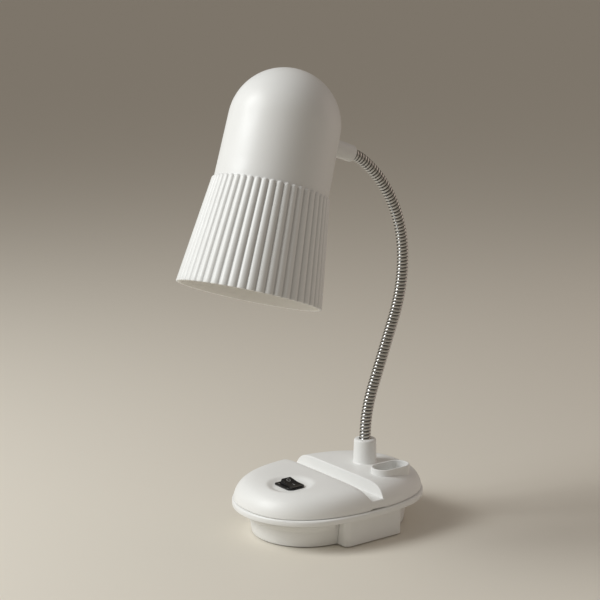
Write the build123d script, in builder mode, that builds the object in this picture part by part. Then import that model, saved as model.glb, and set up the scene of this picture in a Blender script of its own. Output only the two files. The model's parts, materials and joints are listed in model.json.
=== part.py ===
"""Desk lamp with a drawer base.

A ribbed shade on a wound steel gooseneck stands on an oval base that holds a
small drawer, a pen cup, a pen trough and a rocker switch.  Millimetres, +Z up.
The origin is under the middle of the base, on the plane that the feet stand on.
+X points at the end with the gooseneck, and the drawer opens towards -Y.
"""

from build123d import *
from math import asin, atan2, cos, degrees, radians, sin
import os

os.makedirs("parts", exist_ok=True)

# ------------------------------------------------------------ driving sizes: base
base_length = 172.0         # end to end, over the bead
base_width = 127.5          # front to back, over the bead
end_fullness = 0.96         # plan radius of the two ends, as a share of half the width
shell_wall = 2.2
foot_height = 1.0           # how far the rubber feet hold the base off the desk
foot_inset = 16.3           # how far the foot of the base stands inside the bead
waist_inset = 13.6          # the same at the top of the drafted wall
waist_height = 20.0
flare_inset = 3.2           # where the flare runs in under the bead
bead_bottom = 24.0
bead_height = 4.5
bead_rounding = 1.6
crown_inset = 2.1           # the top shell stands this far inside the bead
crown_height = 47.0
crown_rounding = 14.5
tongue_depth = 2.0          # the lip of the top shell that locates in the bottom shell
fit_gap = 0.3               # between pieces that move past each other
seat_gap = 0.1              # between pieces of one body that drop into each other

# ------------------------------------------------------------ driving sizes: top of the base
trough_left = -1.8          # left foot of the trough's floor
trough_width = 12.2
trough_floor = 36.0
trough_lean = 4.4           # how far the left wall leans out where its eased edge begins
trough_draft = 0.5          # how far the right wall leans out
trough_ease = 4.0           # the left wall's upper edge is eased off, along the crown
trough_ease_drop = 2.1      # and down the wall
trough_rounding = 1.4
cup_x = 40.7
cup_y = -32.5
cup_length = 36.1
cup_width = 20.8
cup_wall = 1.8
cup_rim = 52.0
cup_depth = 22.0
cup_floor = 1.8
post_x = 39.4
post_radius = 9.55
post_top = 68.0
post_rounding = 1.8
post_seat = 4.0             # thickness of the post's inner floor
dish_x = -46.5
dish_y = -9.0
dish_radius = 19.5
dish_depth = 2.5

# ------------------------------------------------------------ driving sizes: switch
bezel_length = 23.5
bezel_width = 15.0
bezel_height = 1.4
bezel_corner = 1.5
housing_length = 21.4
housing_width = 12.6
housing_depth = 15.0
rocker_radius = 9.7         # the ends of the rocker are arcs round its pivot
rocker_width = 10.8
raised_angle = 31.7         # where the raised end's corner lies, seen from the pivot
pressed_angle = 11.3        # the same for the pressed end; it throws by the difference
rocker_valley = 2.1         # the middle of the dished top over the pivot
rocker_skirt = 2.5          # how far the rocker reaches under the pivot
rocker_drop = 1.5           # the pivot under the bezel's top
rocker_well = 6.4           # the clear depth under the pivot
pivot_radius = 1.0
blade_length = 8.0
blade_width = 4.8
blade_thickness = 0.8

# ------------------------------------------------------------ driving sizes: drawer
drawer_x = 4.2
front_width = 59.6
front_face = 57.5           # how far the drawer's face stands in front of the origin
front_seat = 42.5           # the flat wall that the drawer's front closes on
front_rounding = 4.6
front_wall = 2.0
tray_width = 50.0
tray_depth = 78.0
tray_height = 18.0
tray_wall = 1.6
drawer_travel = 54.0
guide_wall = 1.6
guide_lip = 3.0
guide_setback = 2.0         # how far the guides stop short of the tray's back
stop_width = 18.0
stop_height = 2.2

# ------------------------------------------------------------ driving sizes: gooseneck
neck_radius = 5.0
groove_radius = 4.25
bore_radius = 3.0
turn_pitch = 3.0
neck_socket = 10.0          # how deep the gooseneck stands in the post
boss_socket = 11.7          # how deep it runs into the boss of the shade
neck_rise = 1.5
lean_radius = 117.0         # the gooseneck leans back over the post,
lean_turn = 20.9
lean_run = 62.9             # runs straight,
shoulder_radius = 139.0     # and comes round in three bends to the shade
shoulder_turn = 22.2
crook_radius = 107.0
crook_turn = 53.3
hook_radius = 43.6
hook_turn = 16.3
hinge_stations = (30.0, 111.0, 171.0, 228.0)     # along the gooseneck from its foot
hinge_gap = 2.2
lead_radius = 1.6
nipple_radius = 4.0
nipple_bore = 2.0
nipple_below = 12.0         # how far the threaded tube reaches under its seat
nipple_inside = 9.0         # how far the shade's threaded tube reaches in from its seat
thread_gap = 0.06
stem_length = 8.0
stem_radius = 2.9
nut_width = 12.0
nut_height = 4.2
washer_radius = 6.8
washer_height = 0.8

# ------------------------------------------------------------ driving sizes: shade
dome_radius = 44.95
shade_wall = 1.6
smooth_length = 51.5        # from the dome's centre down to the top of the ribs
smooth_radius = 45.9        # smooth body where the ribs begin
rib_top_radius = 47.3       # over the ribs
mouth_radius = 58.2
shade_length = 138.4        # from the dome's centre down to the mouth
rib_count = 50
rib_depth = 1.2
mouth_rim = 1.2             # plain band at the mouth
boss_radius = 7.35
boss_reach = 73.0           # from the shade's axis to the end of the boss
boss_drop = 3.5             # the boss under the dome's centre
boss_rounding = 2.0
boss_inner = 38.5           # the flat inside the shade that the bracket is held to
shade_roll = 6.08           # the shade is turned this far about its boss, in degrees

# ------------------------------------------------------------ driving sizes: lamp holder and bulb
bracket_thickness = 2.0
bracket_width = 20.0
bracket_rise = 17.0         # the bracket's arm over the boss's centre line
bracket_end = 12.0          # how far the arm runs past the shade's axis
lead_hole_x = 24.4          # the hole in the arm that the lead passes through
holder_radius = 19.0
holder_cap_height = 20.0
cap_seat_radius = 8.5       # the flat top of the holder's cap, under its arm
cap_seat_drop = 4.0
cap_shoulder_radius = 14.25
cap_shoulder_drop = 3.0
cap_side_drop = 8.0
skirt_band = 5.0            # plain band at the top of the holder's skirt
skirt_step = 1.2
skirt_draft = 0.6
entry_below = 6.0           # how far the holder's threaded tube reaches under its arm
entry_wall = 1.2
lead_clear = 0.8
contact_thickness = 1.4
centre_contact_radius = 3.0
bulb_contact_thickness = 2.0
bulb_contact_radius = 4.5
holder_skirt_length = 25.0
holder_wall = 1.8
insulator_height = 9.0
screw_shell_radius = 13.6
screw_shell_wall = 0.4
screw_shell_length = 24.0
bulb_cap_radius = 13.1
bulb_cap_length = 22.0
bulb_throat_radius = 15.0
bulb_collar_radius = 27.0
bulb_body_length = 34.0
bulb_radius = 30.0
bulb_glass_length = 44.0

# ------------------------------------------------------------ driving sizes: small parts
screw_spots = ((-54.0, 26.0), (-54.0, -26.0), (58.0, 20.0), (62.0, -10.0))
screw_boss_radius = 3.5
screw_radius = 1.5
screw_head_radius = 2.9
screw_head_height = 2.0
screw_recess = 5.0
screw_reach = 12.0
boss_split = 10.0           # where the lower and upper screw bosses meet
pad_spots = ((-44.0, 26.0), (-44.0, -28.0), (47.0, 26.0), (47.0, -28.0))
pad_radius = 5.5
pad_recess = 1.0
ballast_height = 8.0
ballast_y = (-24.0, 14.0)
ballast_left = (-66.0, -26.0)
ballast_right = (36.0, 66.0)
gland_x = -38.0
gland_z = 12.5
gland_bore = 3.4
gland_radius = 5.0
gland_flange = 7.2
gland_flange_thickness = 2.0
gland_setback = 19.75       # from the side of the bead to the flat seat outside the wall
gland_grip = 4.0            # between the seats inside and outside the wall
gland_boss_radius = 8.2
gland_clear = 8.0           # how far the seats are cleared past the boss
block_length = 20.0
block_width = 10.0
block_height = 9.0
block_x = -38.0
block_y = 23.5
clamp_screw_radius = 1.6

# ------------------------------------------------------------ values worked out from them
lip_top = bead_bottom + bead_height
floor_top = foot_height + shell_wall
crown_under = crown_height - shell_wall
rim_inset = crown_inset + shell_wall / 2
trough_right = trough_left + trough_width
trough_ridge = trough_left - trough_lean - trough_ease
gland_seat_outer = base_width / 2 - gland_setback
gland_seat_inner = gland_seat_outer - gland_grip
neck_floor = post_top - neck_socket
seat_under = neck_floor - post_seat
dish_floor = crown_height - dish_depth
bezel_top = dish_floor + bezel_height
pivot_z = bezel_top - rocker_drop
tray_floor = floor_top + fit_gap
tray_top = tray_floor + tray_height
tray_back = tray_depth - front_seat
rest_stop = tray_back - tray_wall - drawer_travel - fit_gap


def oval(height, inset):
    """Plan outline of the base at a height: two end arcs and two tangent side arcs."""
    half_length = base_length / 2 - inset
    half_width = base_width / 2 - inset
    end_radius = end_fullness * base_width / 2 - inset
    end_x = half_length - end_radius
    side_radius = (end_x**2 + half_width**2 - end_radius**2) / (2 * (half_width - end_radius))
    side_y = side_radius - half_width
    meet = degrees(atan2(side_y, end_x))
    with BuildSketch(Plane.XY.offset(height)) as outline:
        with BuildLine():
            CenterArc((end_x, 0), end_radius, -meet, 2 * meet)
            CenterArc((0, -side_y), side_radius, meet, 180 - 2 * meet)
            CenterArc((-end_x, 0), end_radius, 180 - meet, 2 * meet)
            CenterArc((0, side_y), side_radius, 180 + meet, 180 - 2 * meet)
        make_face()
    return outline.sketch


def stadium(plane, x, y, length, width):
    """A slot-shaped outline, length over its round ends, lying along the plane's X."""
    with BuildSketch(plane) as outline:
        with Locations((x, y)):
            SlotOverall(length, width)
    return outline.sketch


def box_between(x_range, y_range, z_range):
    """A plain block between two corners, for cuts and ribs."""
    with BuildPart() as block:
        with BuildSketch(Plane.XY.offset(z_range[0])):
            with Locations((sum(x_range) / 2, sum(y_range) / 2)):
                Rectangle(x_range[1] - x_range[0], y_range[1] - y_range[0])
        extrude(amount=z_range[1] - z_range[0])
    return block.part


def turned(section_plane, axis, points):
    """A solid of revolution from a closed outline of (radius, height) points."""
    with BuildPart() as body:
        with BuildSketch(section_plane):
            with BuildLine():
                Polyline(*points, close=True)
            make_face()
        revolve(axis=axis)
    return body.part


def rod(plane, start, end, radius, bore=0.0):
    """A round bar or tube along a plane's normal, between two heights over it."""
    with BuildPart() as bar:
        with BuildSketch(plane.offset(start)):
            Circle(radius)
            if bore > 0:
                Circle(bore, mode=Mode.SUBTRACT)
        extrude(amount=end - start)
    return bar.part


def hex_nut(plane, start, width, height, bore):
    """A hexagon nut, width across its flats, with a round bore."""
    with BuildPart() as nut:
        with BuildSketch(plane.offset(start)):
            RegularPolygon(width / 2, 6, major_radius=False)
            Circle(bore, mode=Mode.SUBTRACT)
        extrude(amount=height)
    return nut.part


def finish(built, label):
    """Name a sub-part and write it out."""
    built.part.label = label
    export_step(built.part, "parts/" + label + ".step")


# ------------------------------------------------------------ gooseneck route
# The gooseneck lies in the plane Y = 0: each stretch is its length and the angle it turns.
neck_stretches = (
    (neck_socket + neck_rise, 0.0),
    (radians(lean_turn) * lean_radius, lean_turn),
    (lean_run, 0.0),
    (radians(shoulder_turn) * shoulder_radius, -shoulder_turn),
    (radians(crook_turn) * crook_radius, -crook_turn),
    (radians(hook_turn) * hook_radius, -hook_turn),
    (boss_socket, 0.0),
)
neck_length = sum(length for length, turn in neck_stretches)


def neck_plane(distance):
    """The plane square to the gooseneck, at a distance along it from its foot."""
    x = post_x
    z = neck_floor
    lean = 0.0
    left = distance
    for length, turn in neck_stretches:
        step = min(left, length)
        bend = radians(turn) * step / length
        chord = step
        if turn != 0:
            chord = 2 * length / radians(turn) * sin(bend / 2)
        x += chord * sin(lean + bend / 2)
        z += chord * cos(lean + bend / 2)
        lean += bend
        left -= step
    return Plane(origin=(x, 0, z), x_dir=(0, 1, 0), z_dir=(sin(lean), 0, cos(lean)))


def ring(distance, radius):
    """A circle round the gooseneck's route."""
    with BuildSketch(neck_plane(distance)) as section:
        Circle(radius)
    return section.sketch


def turn_stations(start, end):
    """The feet of the turns between two distances, evenly spaced near the real pitch."""
    count = max(1, round((end - start) / turn_pitch))
    return [start + (end - start) * turn / count for turn in range(count + 1)]


def wound_tube(start, end):
    """A stretch of gooseneck: rounded turns of wire, four circles to a turn, round a bore."""
    stations = turn_stations(start, end)
    shoulder = 0.75 * neck_radius + 0.25 * groove_radius
    rings = []
    for foot, head in zip(stations[:-1], stations[1:]):
        pitch = head - foot
        rings.append(ring(foot, groove_radius))
        rings.append(ring(foot + 0.2 * pitch, shoulder))
        rings.append(ring(foot + 0.5 * pitch, neck_radius))
        rings.append(ring(foot + 0.8 * pitch, shoulder))
    rings.append(ring(end, groove_radius))
    with BuildPart() as tube:
        loft(rings, ruled=True)
        loft([ring(foot, bore_radius) for foot in stations], ruled=True, mode=Mode.SUBTRACT)
    return tube


def lead_tube(start, end):
    """The two-core lead inside a stretch of gooseneck, drawn as one round sheath."""
    with BuildPart() as lead:
        loft([ring(foot, lead_radius) for foot in turn_stations(start, end)], ruled=True)
    return lead


# ------------------------------------------------------------ shade frame
boss_tip = neck_plane(neck_length - boss_socket)
boss_dir = -boss_tip.z_dir
level_dir = Vector(0, 1, 0)
upright_dir = boss_dir.cross(level_dir)
shade_up = upright_dir.rotate(Axis((0, 0, 0), boss_dir), -shade_roll)
shade_origin = boss_tip.origin - boss_dir * boss_reach + shade_up * boss_drop
shade_frame = Plane(origin=shade_origin, x_dir=boss_dir, z_dir=shade_up)
shade_section = Plane(origin=shade_origin, x_dir=boss_dir, z_dir=-shade_frame.y_dir)
shade_axis = Axis(shade_origin, shade_up)
boss_plane = Plane(origin=shade_origin - shade_up * boss_drop, x_dir=shade_frame.y_dir, z_dir=boss_dir)

# ------------------------------------------------------------ tool bodies of the base
with BuildPart() as dome_body:
    extrude(oval(lip_top, crown_inset), amount=crown_height - lip_top)
    fillet(dome_body.faces().sort_by(Axis.Z)[-1].edges(), radius=crown_rounding)

with BuildPart() as dome_cavity:
    extrude(oval(lip_top, crown_inset + shell_wall), amount=crown_under - lip_top)
    fillet(dome_cavity.faces().sort_by(Axis.Z)[-1].edges(), radius=crown_rounding - shell_wall)

with BuildPart() as trough_cut:
    with BuildSketch(Plane.XZ.offset(-base_width / 2)):
        with BuildLine():
            Polyline(
                (trough_left, trough_floor),
                (trough_right, trough_floor),
                (trough_right + trough_draft, crown_height + trough_ease_drop),
                (trough_ridge - trough_ease, crown_height + trough_ease_drop),
                (trough_left - trough_lean, crown_height - trough_ease_drop),
                close=True,
            )
        make_face()
    extrude(amount=base_width)
    floor_edges = trough_cut.edges().filter_by(Axis.Y).group_by(Axis.Z)[0]
    fillet(floor_edges, radius=trough_rounding)

# Everything that hangs under the crown: trough, cup, dish, post and screw bosses.
with BuildPart() as crown_works:
    add(box_between(
        (trough_ridge, trough_right + trough_draft + shell_wall),
        (-base_width / 2, base_width / 2),
        (trough_floor - shell_wall, crown_height),
    ))
    extrude(
        stadium(Plane.XY.offset(cup_rim - cup_depth - cup_floor), cup_x, cup_y, cup_length, cup_width),
        amount=crown_height - cup_rim + cup_depth + cup_floor,
    )
    with BuildSketch(Plane.XY.offset(dish_floor - shell_wall)):
        with Locations((dish_x, dish_y)):
            Circle(dish_radius)
    extrude(amount=dish_depth + shell_wall)
    with BuildSketch(Plane.XY.offset(boss_split)):
        with Locations(*screw_spots):
            Circle(screw_boss_radius)
    extrude(amount=crown_height - boss_split)

with BuildPart() as crown_limit:
    add(dome_body.part)
    extrude(oval(boss_split, foot_inset + shell_wall), amount=lip_top - boss_split)

# ------------------------------------------------------------ top shell
with BuildPart() as crown_fill:
    add(crown_works.part)
    add(crown_limit.part, mode=Mode.INTERSECT)

with BuildPart() as top_shell:
    add(dome_body.part)
    add(dome_cavity.part, mode=Mode.SUBTRACT)
    extrude(oval(lip_top - tongue_depth, rim_inset + seat_gap), amount=tongue_depth + 1)
    tongue_inner = oval(lip_top - tongue_depth, rim_inset + shell_wall)
    extrude(tongue_inner, amount=tongue_depth + 1, mode=Mode.SUBTRACT)
    add(crown_fill.part)
    # the post and the cup's collar stand on the crown
    post_plane = Plane((post_x, 0, 0))
    add(rod(post_plane, crown_under, post_top, post_radius))
    post_rim = top_shell.edges().filter_by(GeomType.CIRCLE).sort_by(Axis.Z)[-1]
    fillet(post_rim, radius=post_rounding)
    collar = stadium(Plane.XY.offset(crown_under - 3), cup_x, cup_y, cup_length, cup_width)
    extrude(collar, amount=cup_rim - crown_under + 3)
    # what is cut into it
    add(trough_cut.part, mode=Mode.SUBTRACT)
    well = stadium(
        Plane.XY.offset(cup_rim - cup_depth), cup_x, cup_y,
        cup_length - 2 * cup_wall, cup_width - 2 * cup_wall,
    )
    extrude(well, amount=cup_depth + 1, mode=Mode.SUBTRACT)
    dish_ball = (dish_radius**2 + dish_depth**2) / (2 * dish_depth)
    with Locations((dish_x, dish_y, dish_floor + dish_ball)):
        Sphere(dish_ball, mode=Mode.SUBTRACT)
    with BuildSketch(Plane.XY.offset(dish_floor - shell_wall - 1)):
        with Locations((dish_x, dish_y)):
            Rectangle(housing_width + 2 * seat_gap, housing_length + 2 * seat_gap)
    extrude(amount=dish_depth + shell_wall + 2, mode=Mode.SUBTRACT)
    with BuildSketch(Plane.XY.offset(dish_floor)):
        with Locations((dish_x, dish_y)):
            RectangleRounded(bezel_width + 2 * seat_gap, bezel_length + 2 * seat_gap, bezel_corner)
    extrude(amount=bezel_height, mode=Mode.SUBTRACT)
    add(rod(post_plane, neck_floor, post_top, neck_radius + seat_gap), mode=Mode.SUBTRACT)
    add(rod(post_plane, seat_under, post_top, nipple_radius + seat_gap), mode=Mode.SUBTRACT)
    add(rod(post_plane, crown_under - 1, seat_under, post_radius - shell_wall), mode=Mode.SUBTRACT)
    with BuildSketch(Plane.XY.offset(boss_split)):
        with Locations(*screw_spots):
            Circle(screw_radius)
    extrude(amount=screw_reach, mode=Mode.SUBTRACT)
finish(top_shell, "top_shell")

# ------------------------------------------------------------ bottom shell
front_left = drawer_x - front_width / 2
front_right = drawer_x + front_width / 2
tray_left = drawer_x - tray_width / 2
tray_right = drawer_x + tray_width / 2
guide_left = tray_left - fit_gap - guide_wall
guide_right = tray_right + fit_gap + guide_wall
guide_top = tray_top + fit_gap + guide_wall


def foot_body(bottom, grow):
    """The drafted foot and its flare, moved in and up by grow for the hollow inside."""
    waist = oval(waist_height + grow, waist_inset + grow)
    with BuildPart() as body:
        loft([oval(bottom, foot_inset + grow), waist], ruled=True)
        loft([waist, oval(bead_bottom + grow, flare_inset + grow)], ruled=True)
    return body.part


with BuildPart() as gland_boss:
    gland_plane = Plane(origin=(gland_x, 0, gland_z), x_dir=(1, 0, 0), z_dir=(0, 1, 0))
    add(rod(gland_plane, gland_seat_inner, gland_seat_outer, gland_boss_radius))

with BuildPart() as bottom_shell:
    add(foot_body(foot_height, 0))
    extrude(oval(bead_bottom, 0), amount=bead_height)
    rim_edges = bottom_shell.faces().sort_by(Axis.Z)[-1].edges()
    fillet(rim_edges, radius=bead_rounding)
    add(foot_body(floor_top, shell_wall), mode=Mode.SUBTRACT)
    extrude(oval(bead_bottom + shell_wall, rim_inset), amount=bead_height, mode=Mode.SUBTRACT)
    # flat seat behind the drawer's front
    add(box_between(
        (front_left - fit_gap, front_right + fit_gap),
        (-base_width / 2, -front_seat),
        (0, bead_bottom),
    ), mode=Mode.SUBTRACT)
    add(box_between(
        (front_left - fit_gap, front_right + fit_gap),
        (-front_seat, -front_seat + shell_wall),
        (foot_height, bead_bottom),
    ))
    # guides either side of the tray, with a lip over its walls and a bridge that stops it
    for low, high, lip_low, lip_high in (
        (guide_left, guide_left + guide_wall, guide_left, guide_left + guide_lip),
        (guide_right - guide_wall, guide_right, guide_right - guide_lip, guide_right),
    ):
        y_range = (-front_seat, tray_back - guide_setback)
        add(box_between((low, high), y_range, (foot_height, guide_top)))
        add(box_between((lip_low, lip_high), y_range, (guide_top - guide_wall, guide_top)))
    add(box_between(
        (guide_left, guide_right),
        (rest_stop - guide_wall * 2, rest_stop),
        (guide_top - guide_wall, guide_top + guide_wall),
    ))
    # the way in for the tray
    add(box_between(
        (tray_left - fit_gap, tray_right + fit_gap),
        (-front_seat - 1, -front_seat + shell_wall + 1),
        (floor_top, tray_top + fit_gap),
    ), mode=Mode.SUBTRACT)
    # screw bosses
    with BuildSketch(Plane.XY.offset(foot_height)):
        with Locations(*screw_spots):
            Circle(screw_boss_radius + 1)
    extrude(amount=boss_split - foot_height)
    with BuildSketch(Plane.XY.offset(foot_height)):
        with Locations(*screw_spots):
            Circle(screw_head_radius + seat_gap)
    extrude(amount=screw_recess, mode=Mode.SUBTRACT)
    with BuildSketch(Plane.XY.offset(foot_height)):
        with Locations(*screw_spots):
            Circle(screw_radius + seat_gap)
    extrude(amount=boss_split, mode=Mode.SUBTRACT)
    # recesses for the feet
    with BuildSketch(Plane.XY.offset(foot_height)):
        with Locations(*pad_spots):
            Circle(pad_radius + seat_gap)
    extrude(amount=pad_recess, mode=Mode.SUBTRACT)
    # the cord's way in
    add(gland_boss.part)
    inner_clear = gland_seat_inner - gland_clear
    outer_clear = gland_seat_outer + gland_clear
    add(rod(gland_plane, inner_clear, gland_seat_inner, gland_boss_radius), mode=Mode.SUBTRACT)
    add(rod(gland_plane, gland_seat_outer, outer_clear, gland_boss_radius), mode=Mode.SUBTRACT)
    add(rod(gland_plane, 0, base_width / 2, gland_radius), mode=Mode.SUBTRACT)
finish(bottom_shell, "bottom_shell")

# ------------------------------------------------------------ feet, screws and ballast
with BuildPart() as rubber_feet:
    with BuildSketch():
        with Locations(*pad_spots):
            Circle(pad_radius)
    extrude(amount=foot_height + pad_recess)
    chamfer(rubber_feet.faces().group_by(Axis.Z)[0].edges(), length=0.5)
finish(rubber_feet, "rubber_feet")

with BuildPart() as shell_screws:
    with BuildSketch(Plane.XY.offset(foot_height + screw_recess - screw_head_height)):
        with Locations(*screw_spots):
            Circle(screw_head_radius)
    extrude(amount=screw_head_height)
    with BuildSketch(Plane.XY.offset(foot_height + screw_recess)):
        with Locations(*screw_spots):
            Circle(screw_radius)
    extrude(amount=boss_split - foot_height - screw_recess + screw_reach - 1)
    with BuildSketch(Plane.XY.offset(foot_height + screw_recess - screw_head_height)):
        with Locations(*screw_spots):
            Rectangle(3.2, 0.7)
            Rectangle(0.7, 3.2)
    extrude(amount=screw_head_height / 2, mode=Mode.SUBTRACT)
finish(shell_screws, "shell_screws")


def ballast(x_range):
    """A steel plate on the floor beside the drawer."""
    with BuildPart() as plate:
        add(box_between(x_range, ballast_y, (floor_top, floor_top + ballast_height)))
        room = oval(floor_top, foot_inset + shell_wall + fit_gap)
        extrude(room, amount=ballast_height, mode=Mode.INTERSECT)
        with BuildSketch(Plane.XY.offset(floor_top)):
            with Locations(*screw_spots):
                Circle(screw_boss_radius + 1 + seat_gap)
        extrude(amount=ballast_height, mode=Mode.SUBTRACT)
    return plate


left_ballast = ballast(ballast_left)
finish(left_ballast, "left_ballast_plate")
right_ballast = ballast(ballast_right)
finish(right_ballast, "right_ballast_plate")

# ------------------------------------------------------------ drawer
with BuildPart() as drawer:
    tray_y = (-front_seat - 1, tray_back)
    add(box_between((tray_left, tray_right), tray_y, (tray_floor, tray_top)))
    add(box_between(
        (front_left, front_right),
        (-front_face, -front_seat - fit_gap),
        (foot_height, bead_bottom - fit_gap),
    ))
    fillet(drawer.edges().filter_by(Axis.Z).group_by(Axis.Y)[0], radius=front_rounding)
    add(box_between(
        (tray_left + tray_wall, tray_right - tray_wall),
        (-front_face + front_wall, tray_back - tray_wall),
        (tray_floor + tray_wall, bead_bottom),
    ), mode=Mode.SUBTRACT)
    add(box_between(
        (drawer_x - stop_width / 2, drawer_x + stop_width / 2),
        (tray_back - tray_wall, tray_back),
        (tray_floor, tray_top + fit_gap + stop_height),
    ))
finish(drawer, "drawer")

# ------------------------------------------------------------ rocker switch
pivot_plane = Plane(origin=(dish_x, dish_y, pivot_z), x_dir=(0, 1, 0), z_dir=(1, 0, 0))
pivot_reach = housing_width / 2
with BuildPart() as switch_housing:
    with BuildSketch(Plane.XY.offset(dish_floor)):
        with Locations((dish_x, dish_y)):
            RectangleRounded(bezel_width, bezel_length, bezel_corner)
    extrude(amount=bezel_height)
    with BuildSketch(Plane.XY.offset(bezel_top - housing_depth)):
        with Locations((dish_x, dish_y)):
            Rectangle(housing_width, housing_length)
    extrude(amount=housing_depth)
    with BuildSketch(Plane.XY.offset(pivot_z - rocker_well)):
        with Locations((dish_x, dish_y)):
            Rectangle(rocker_width + 2 * fit_gap, 2 * (rocker_radius + fit_gap))
    extrude(amount=housing_depth, mode=Mode.SUBTRACT)
    add(rod(pivot_plane, -pivot_reach, pivot_reach, pivot_radius + 0.05), mode=Mode.SUBTRACT)
finish(switch_housing, "switch_housing")

with BuildPart() as switch_terminals:
    with BuildSketch(Plane.XY.offset(bezel_top - housing_depth - blade_length)):
        with Locations((dish_x, dish_y - housing_length / 4), (dish_x, dish_y + housing_length / 4)):
            Rectangle(blade_width, blade_thickness)
    extrude(amount=blade_length)
finish(switch_terminals, "switch_terminals")


def round_pivot(angle):
    """A point on the arc of the rocker's ends, at an angle over the level through the pivot."""
    return (rocker_radius * cos(radians(angle)), rocker_radius * sin(radians(angle)))


with BuildPart() as switch_rocker:
    # seen from the side: one end stands up, the other is pressed in, with a dished top
    skirt_angle = degrees(asin(rocker_skirt / rocker_radius))
    raised = round_pivot(raised_angle)
    raised_foot = round_pivot(-skirt_angle)
    pressed = round_pivot(180 - pressed_angle)
    pressed_foot = round_pivot(180 + skirt_angle)
    with BuildSketch(pivot_plane.offset(-rocker_width / 2)):
        with BuildLine():
            ThreePointArc(raised, (0, rocker_valley), pressed)
            ThreePointArc(pressed, (-rocker_radius, 0), pressed_foot)
            Line(pressed_foot, raised_foot)
            ThreePointArc(raised_foot, (rocker_radius, 0), raised)
        make_face()
    extrude(amount=rocker_width)
    add(rod(pivot_plane, -pivot_reach + seat_gap, pivot_reach - seat_gap, pivot_radius))
finish(switch_rocker, "switch_rocker")

# ------------------------------------------------------------ cord gland and terminal block
with BuildPart() as cord_gland:
    add(rod(gland_plane, gland_seat_inner - gland_flange_thickness, gland_seat_inner, gland_flange, gland_bore))
    add(rod(gland_plane, gland_seat_inner, gland_seat_outer, gland_radius, gland_bore))
    add(rod(gland_plane, gland_seat_outer, gland_seat_outer + gland_flange_thickness, gland_flange, gland_bore))
finish(cord_gland, "cord_gland")

with BuildPart() as terminal_block:
    add(box_between(
        (block_x - block_length / 2, block_x + block_length / 2),
        (block_y - block_width / 2, block_y + block_width / 2),
        (floor_top, floor_top + block_height),
    ))
    pole_step = block_length / 2
    with BuildSketch(Plane.XY.offset(floor_top + block_height / 2)):
        with Locations((block_x, block_y)):
            with GridLocations(pole_step, block_width / 2, 2, 2):
                Circle(clamp_screw_radius + seat_gap)
    extrude(amount=block_height, mode=Mode.SUBTRACT)
finish(terminal_block, "terminal_block")

with BuildPart() as clamp_screws:
    with BuildSketch(Plane.XY.offset(floor_top + block_height / 2)):
        with Locations((block_x, block_y)):
            with GridLocations(pole_step, block_width / 2, 2, 2):
                Circle(clamp_screw_radius)
    extrude(amount=block_height / 2 - 1)
finish(clamp_screws, "clamp_screws")

# ------------------------------------------------------------ fixings at the gooseneck's foot
with BuildPart() as neck_foot_nipple:
    add(rod(post_plane, seat_under - nipple_below, neck_floor - seat_gap, nipple_radius, nipple_bore))
    add(rod(post_plane, neck_floor - seat_gap, neck_floor + stem_length, stem_radius, nipple_bore))
finish(neck_foot_nipple, "neck_foot_nipple")

with BuildPart() as post_washer:
    add(rod(post_plane, seat_under - washer_height, seat_under, washer_radius, nipple_radius + seat_gap))
finish(post_washer, "post_washer")

with BuildPart() as post_nut:
    add(hex_nut(post_plane, seat_under - washer_height - nut_height, nut_width, nut_height, nipple_radius))
finish(post_nut, "post_nut")

# ------------------------------------------------------------ gooseneck
span_names = ("root", "lower", "middle", "upper", "tip")
span_starts = (0.0,) + tuple(station + hinge_gap / 2 for station in hinge_stations)
span_ends = tuple(station - hinge_gap / 2 for station in hinge_stations) + (neck_length - fit_gap,)
for name, start, end in zip(span_names, span_starts, span_ends):
    finish(wound_tube(start, end), "neck_" + name)
    lead_start = start
    lead_end = end
    if name == "root":
        lead_start = start + stem_length + 1
    if name == "tip":
        lead_end = end - stem_length - 1
    finish(lead_tube(lead_start, lead_end), "neck_lead_" + name)

# ------------------------------------------------------------ fixings at the shade's boss
socket_end = boss_reach - boss_socket
nipple_end = boss_inner - nipple_inside
nipple_step = socket_end + seat_gap
with BuildPart() as shade_nipple:
    add(rod(boss_plane, nipple_end, nipple_step, nipple_radius, nipple_bore))
    add(rod(boss_plane, nipple_step, socket_end + stem_length, stem_radius, nipple_bore))
finish(shade_nipple, "shade_nipple")

nut_start = boss_inner - bracket_thickness - fit_gap - washer_height - nut_height
with BuildPart() as shade_nut:
    add(hex_nut(boss_plane, nut_start, nut_width, nut_height, nipple_radius))
finish(shade_nut, "shade_nut")

with BuildPart() as spring_washer:
    add(rod(boss_plane, nut_start + nut_height, nut_start + nut_height + washer_height, washer_radius, nipple_radius))
finish(spring_washer, "spring_washer")


# ------------------------------------------------------------ shade
def fluted(depth, radius):
    """Outline of the ribs at a depth under the dome's centre: one outward arc to a rib."""
    step = 360 / rib_count
    valley = radius - rib_depth
    with BuildSketch(shade_frame.offset(-depth)) as outline:
        with BuildLine():
            for rib in range(rib_count):
                angles = [radians(step * (rib + share)) for share in (0, 0.5, 1)]
                radii = (valley, radius, valley)
                points = [(r * cos(a), r * sin(a)) for r, a in zip(radii, angles)]
                ThreePointArc(*points)
        make_face()
    return outline.sketch


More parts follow.
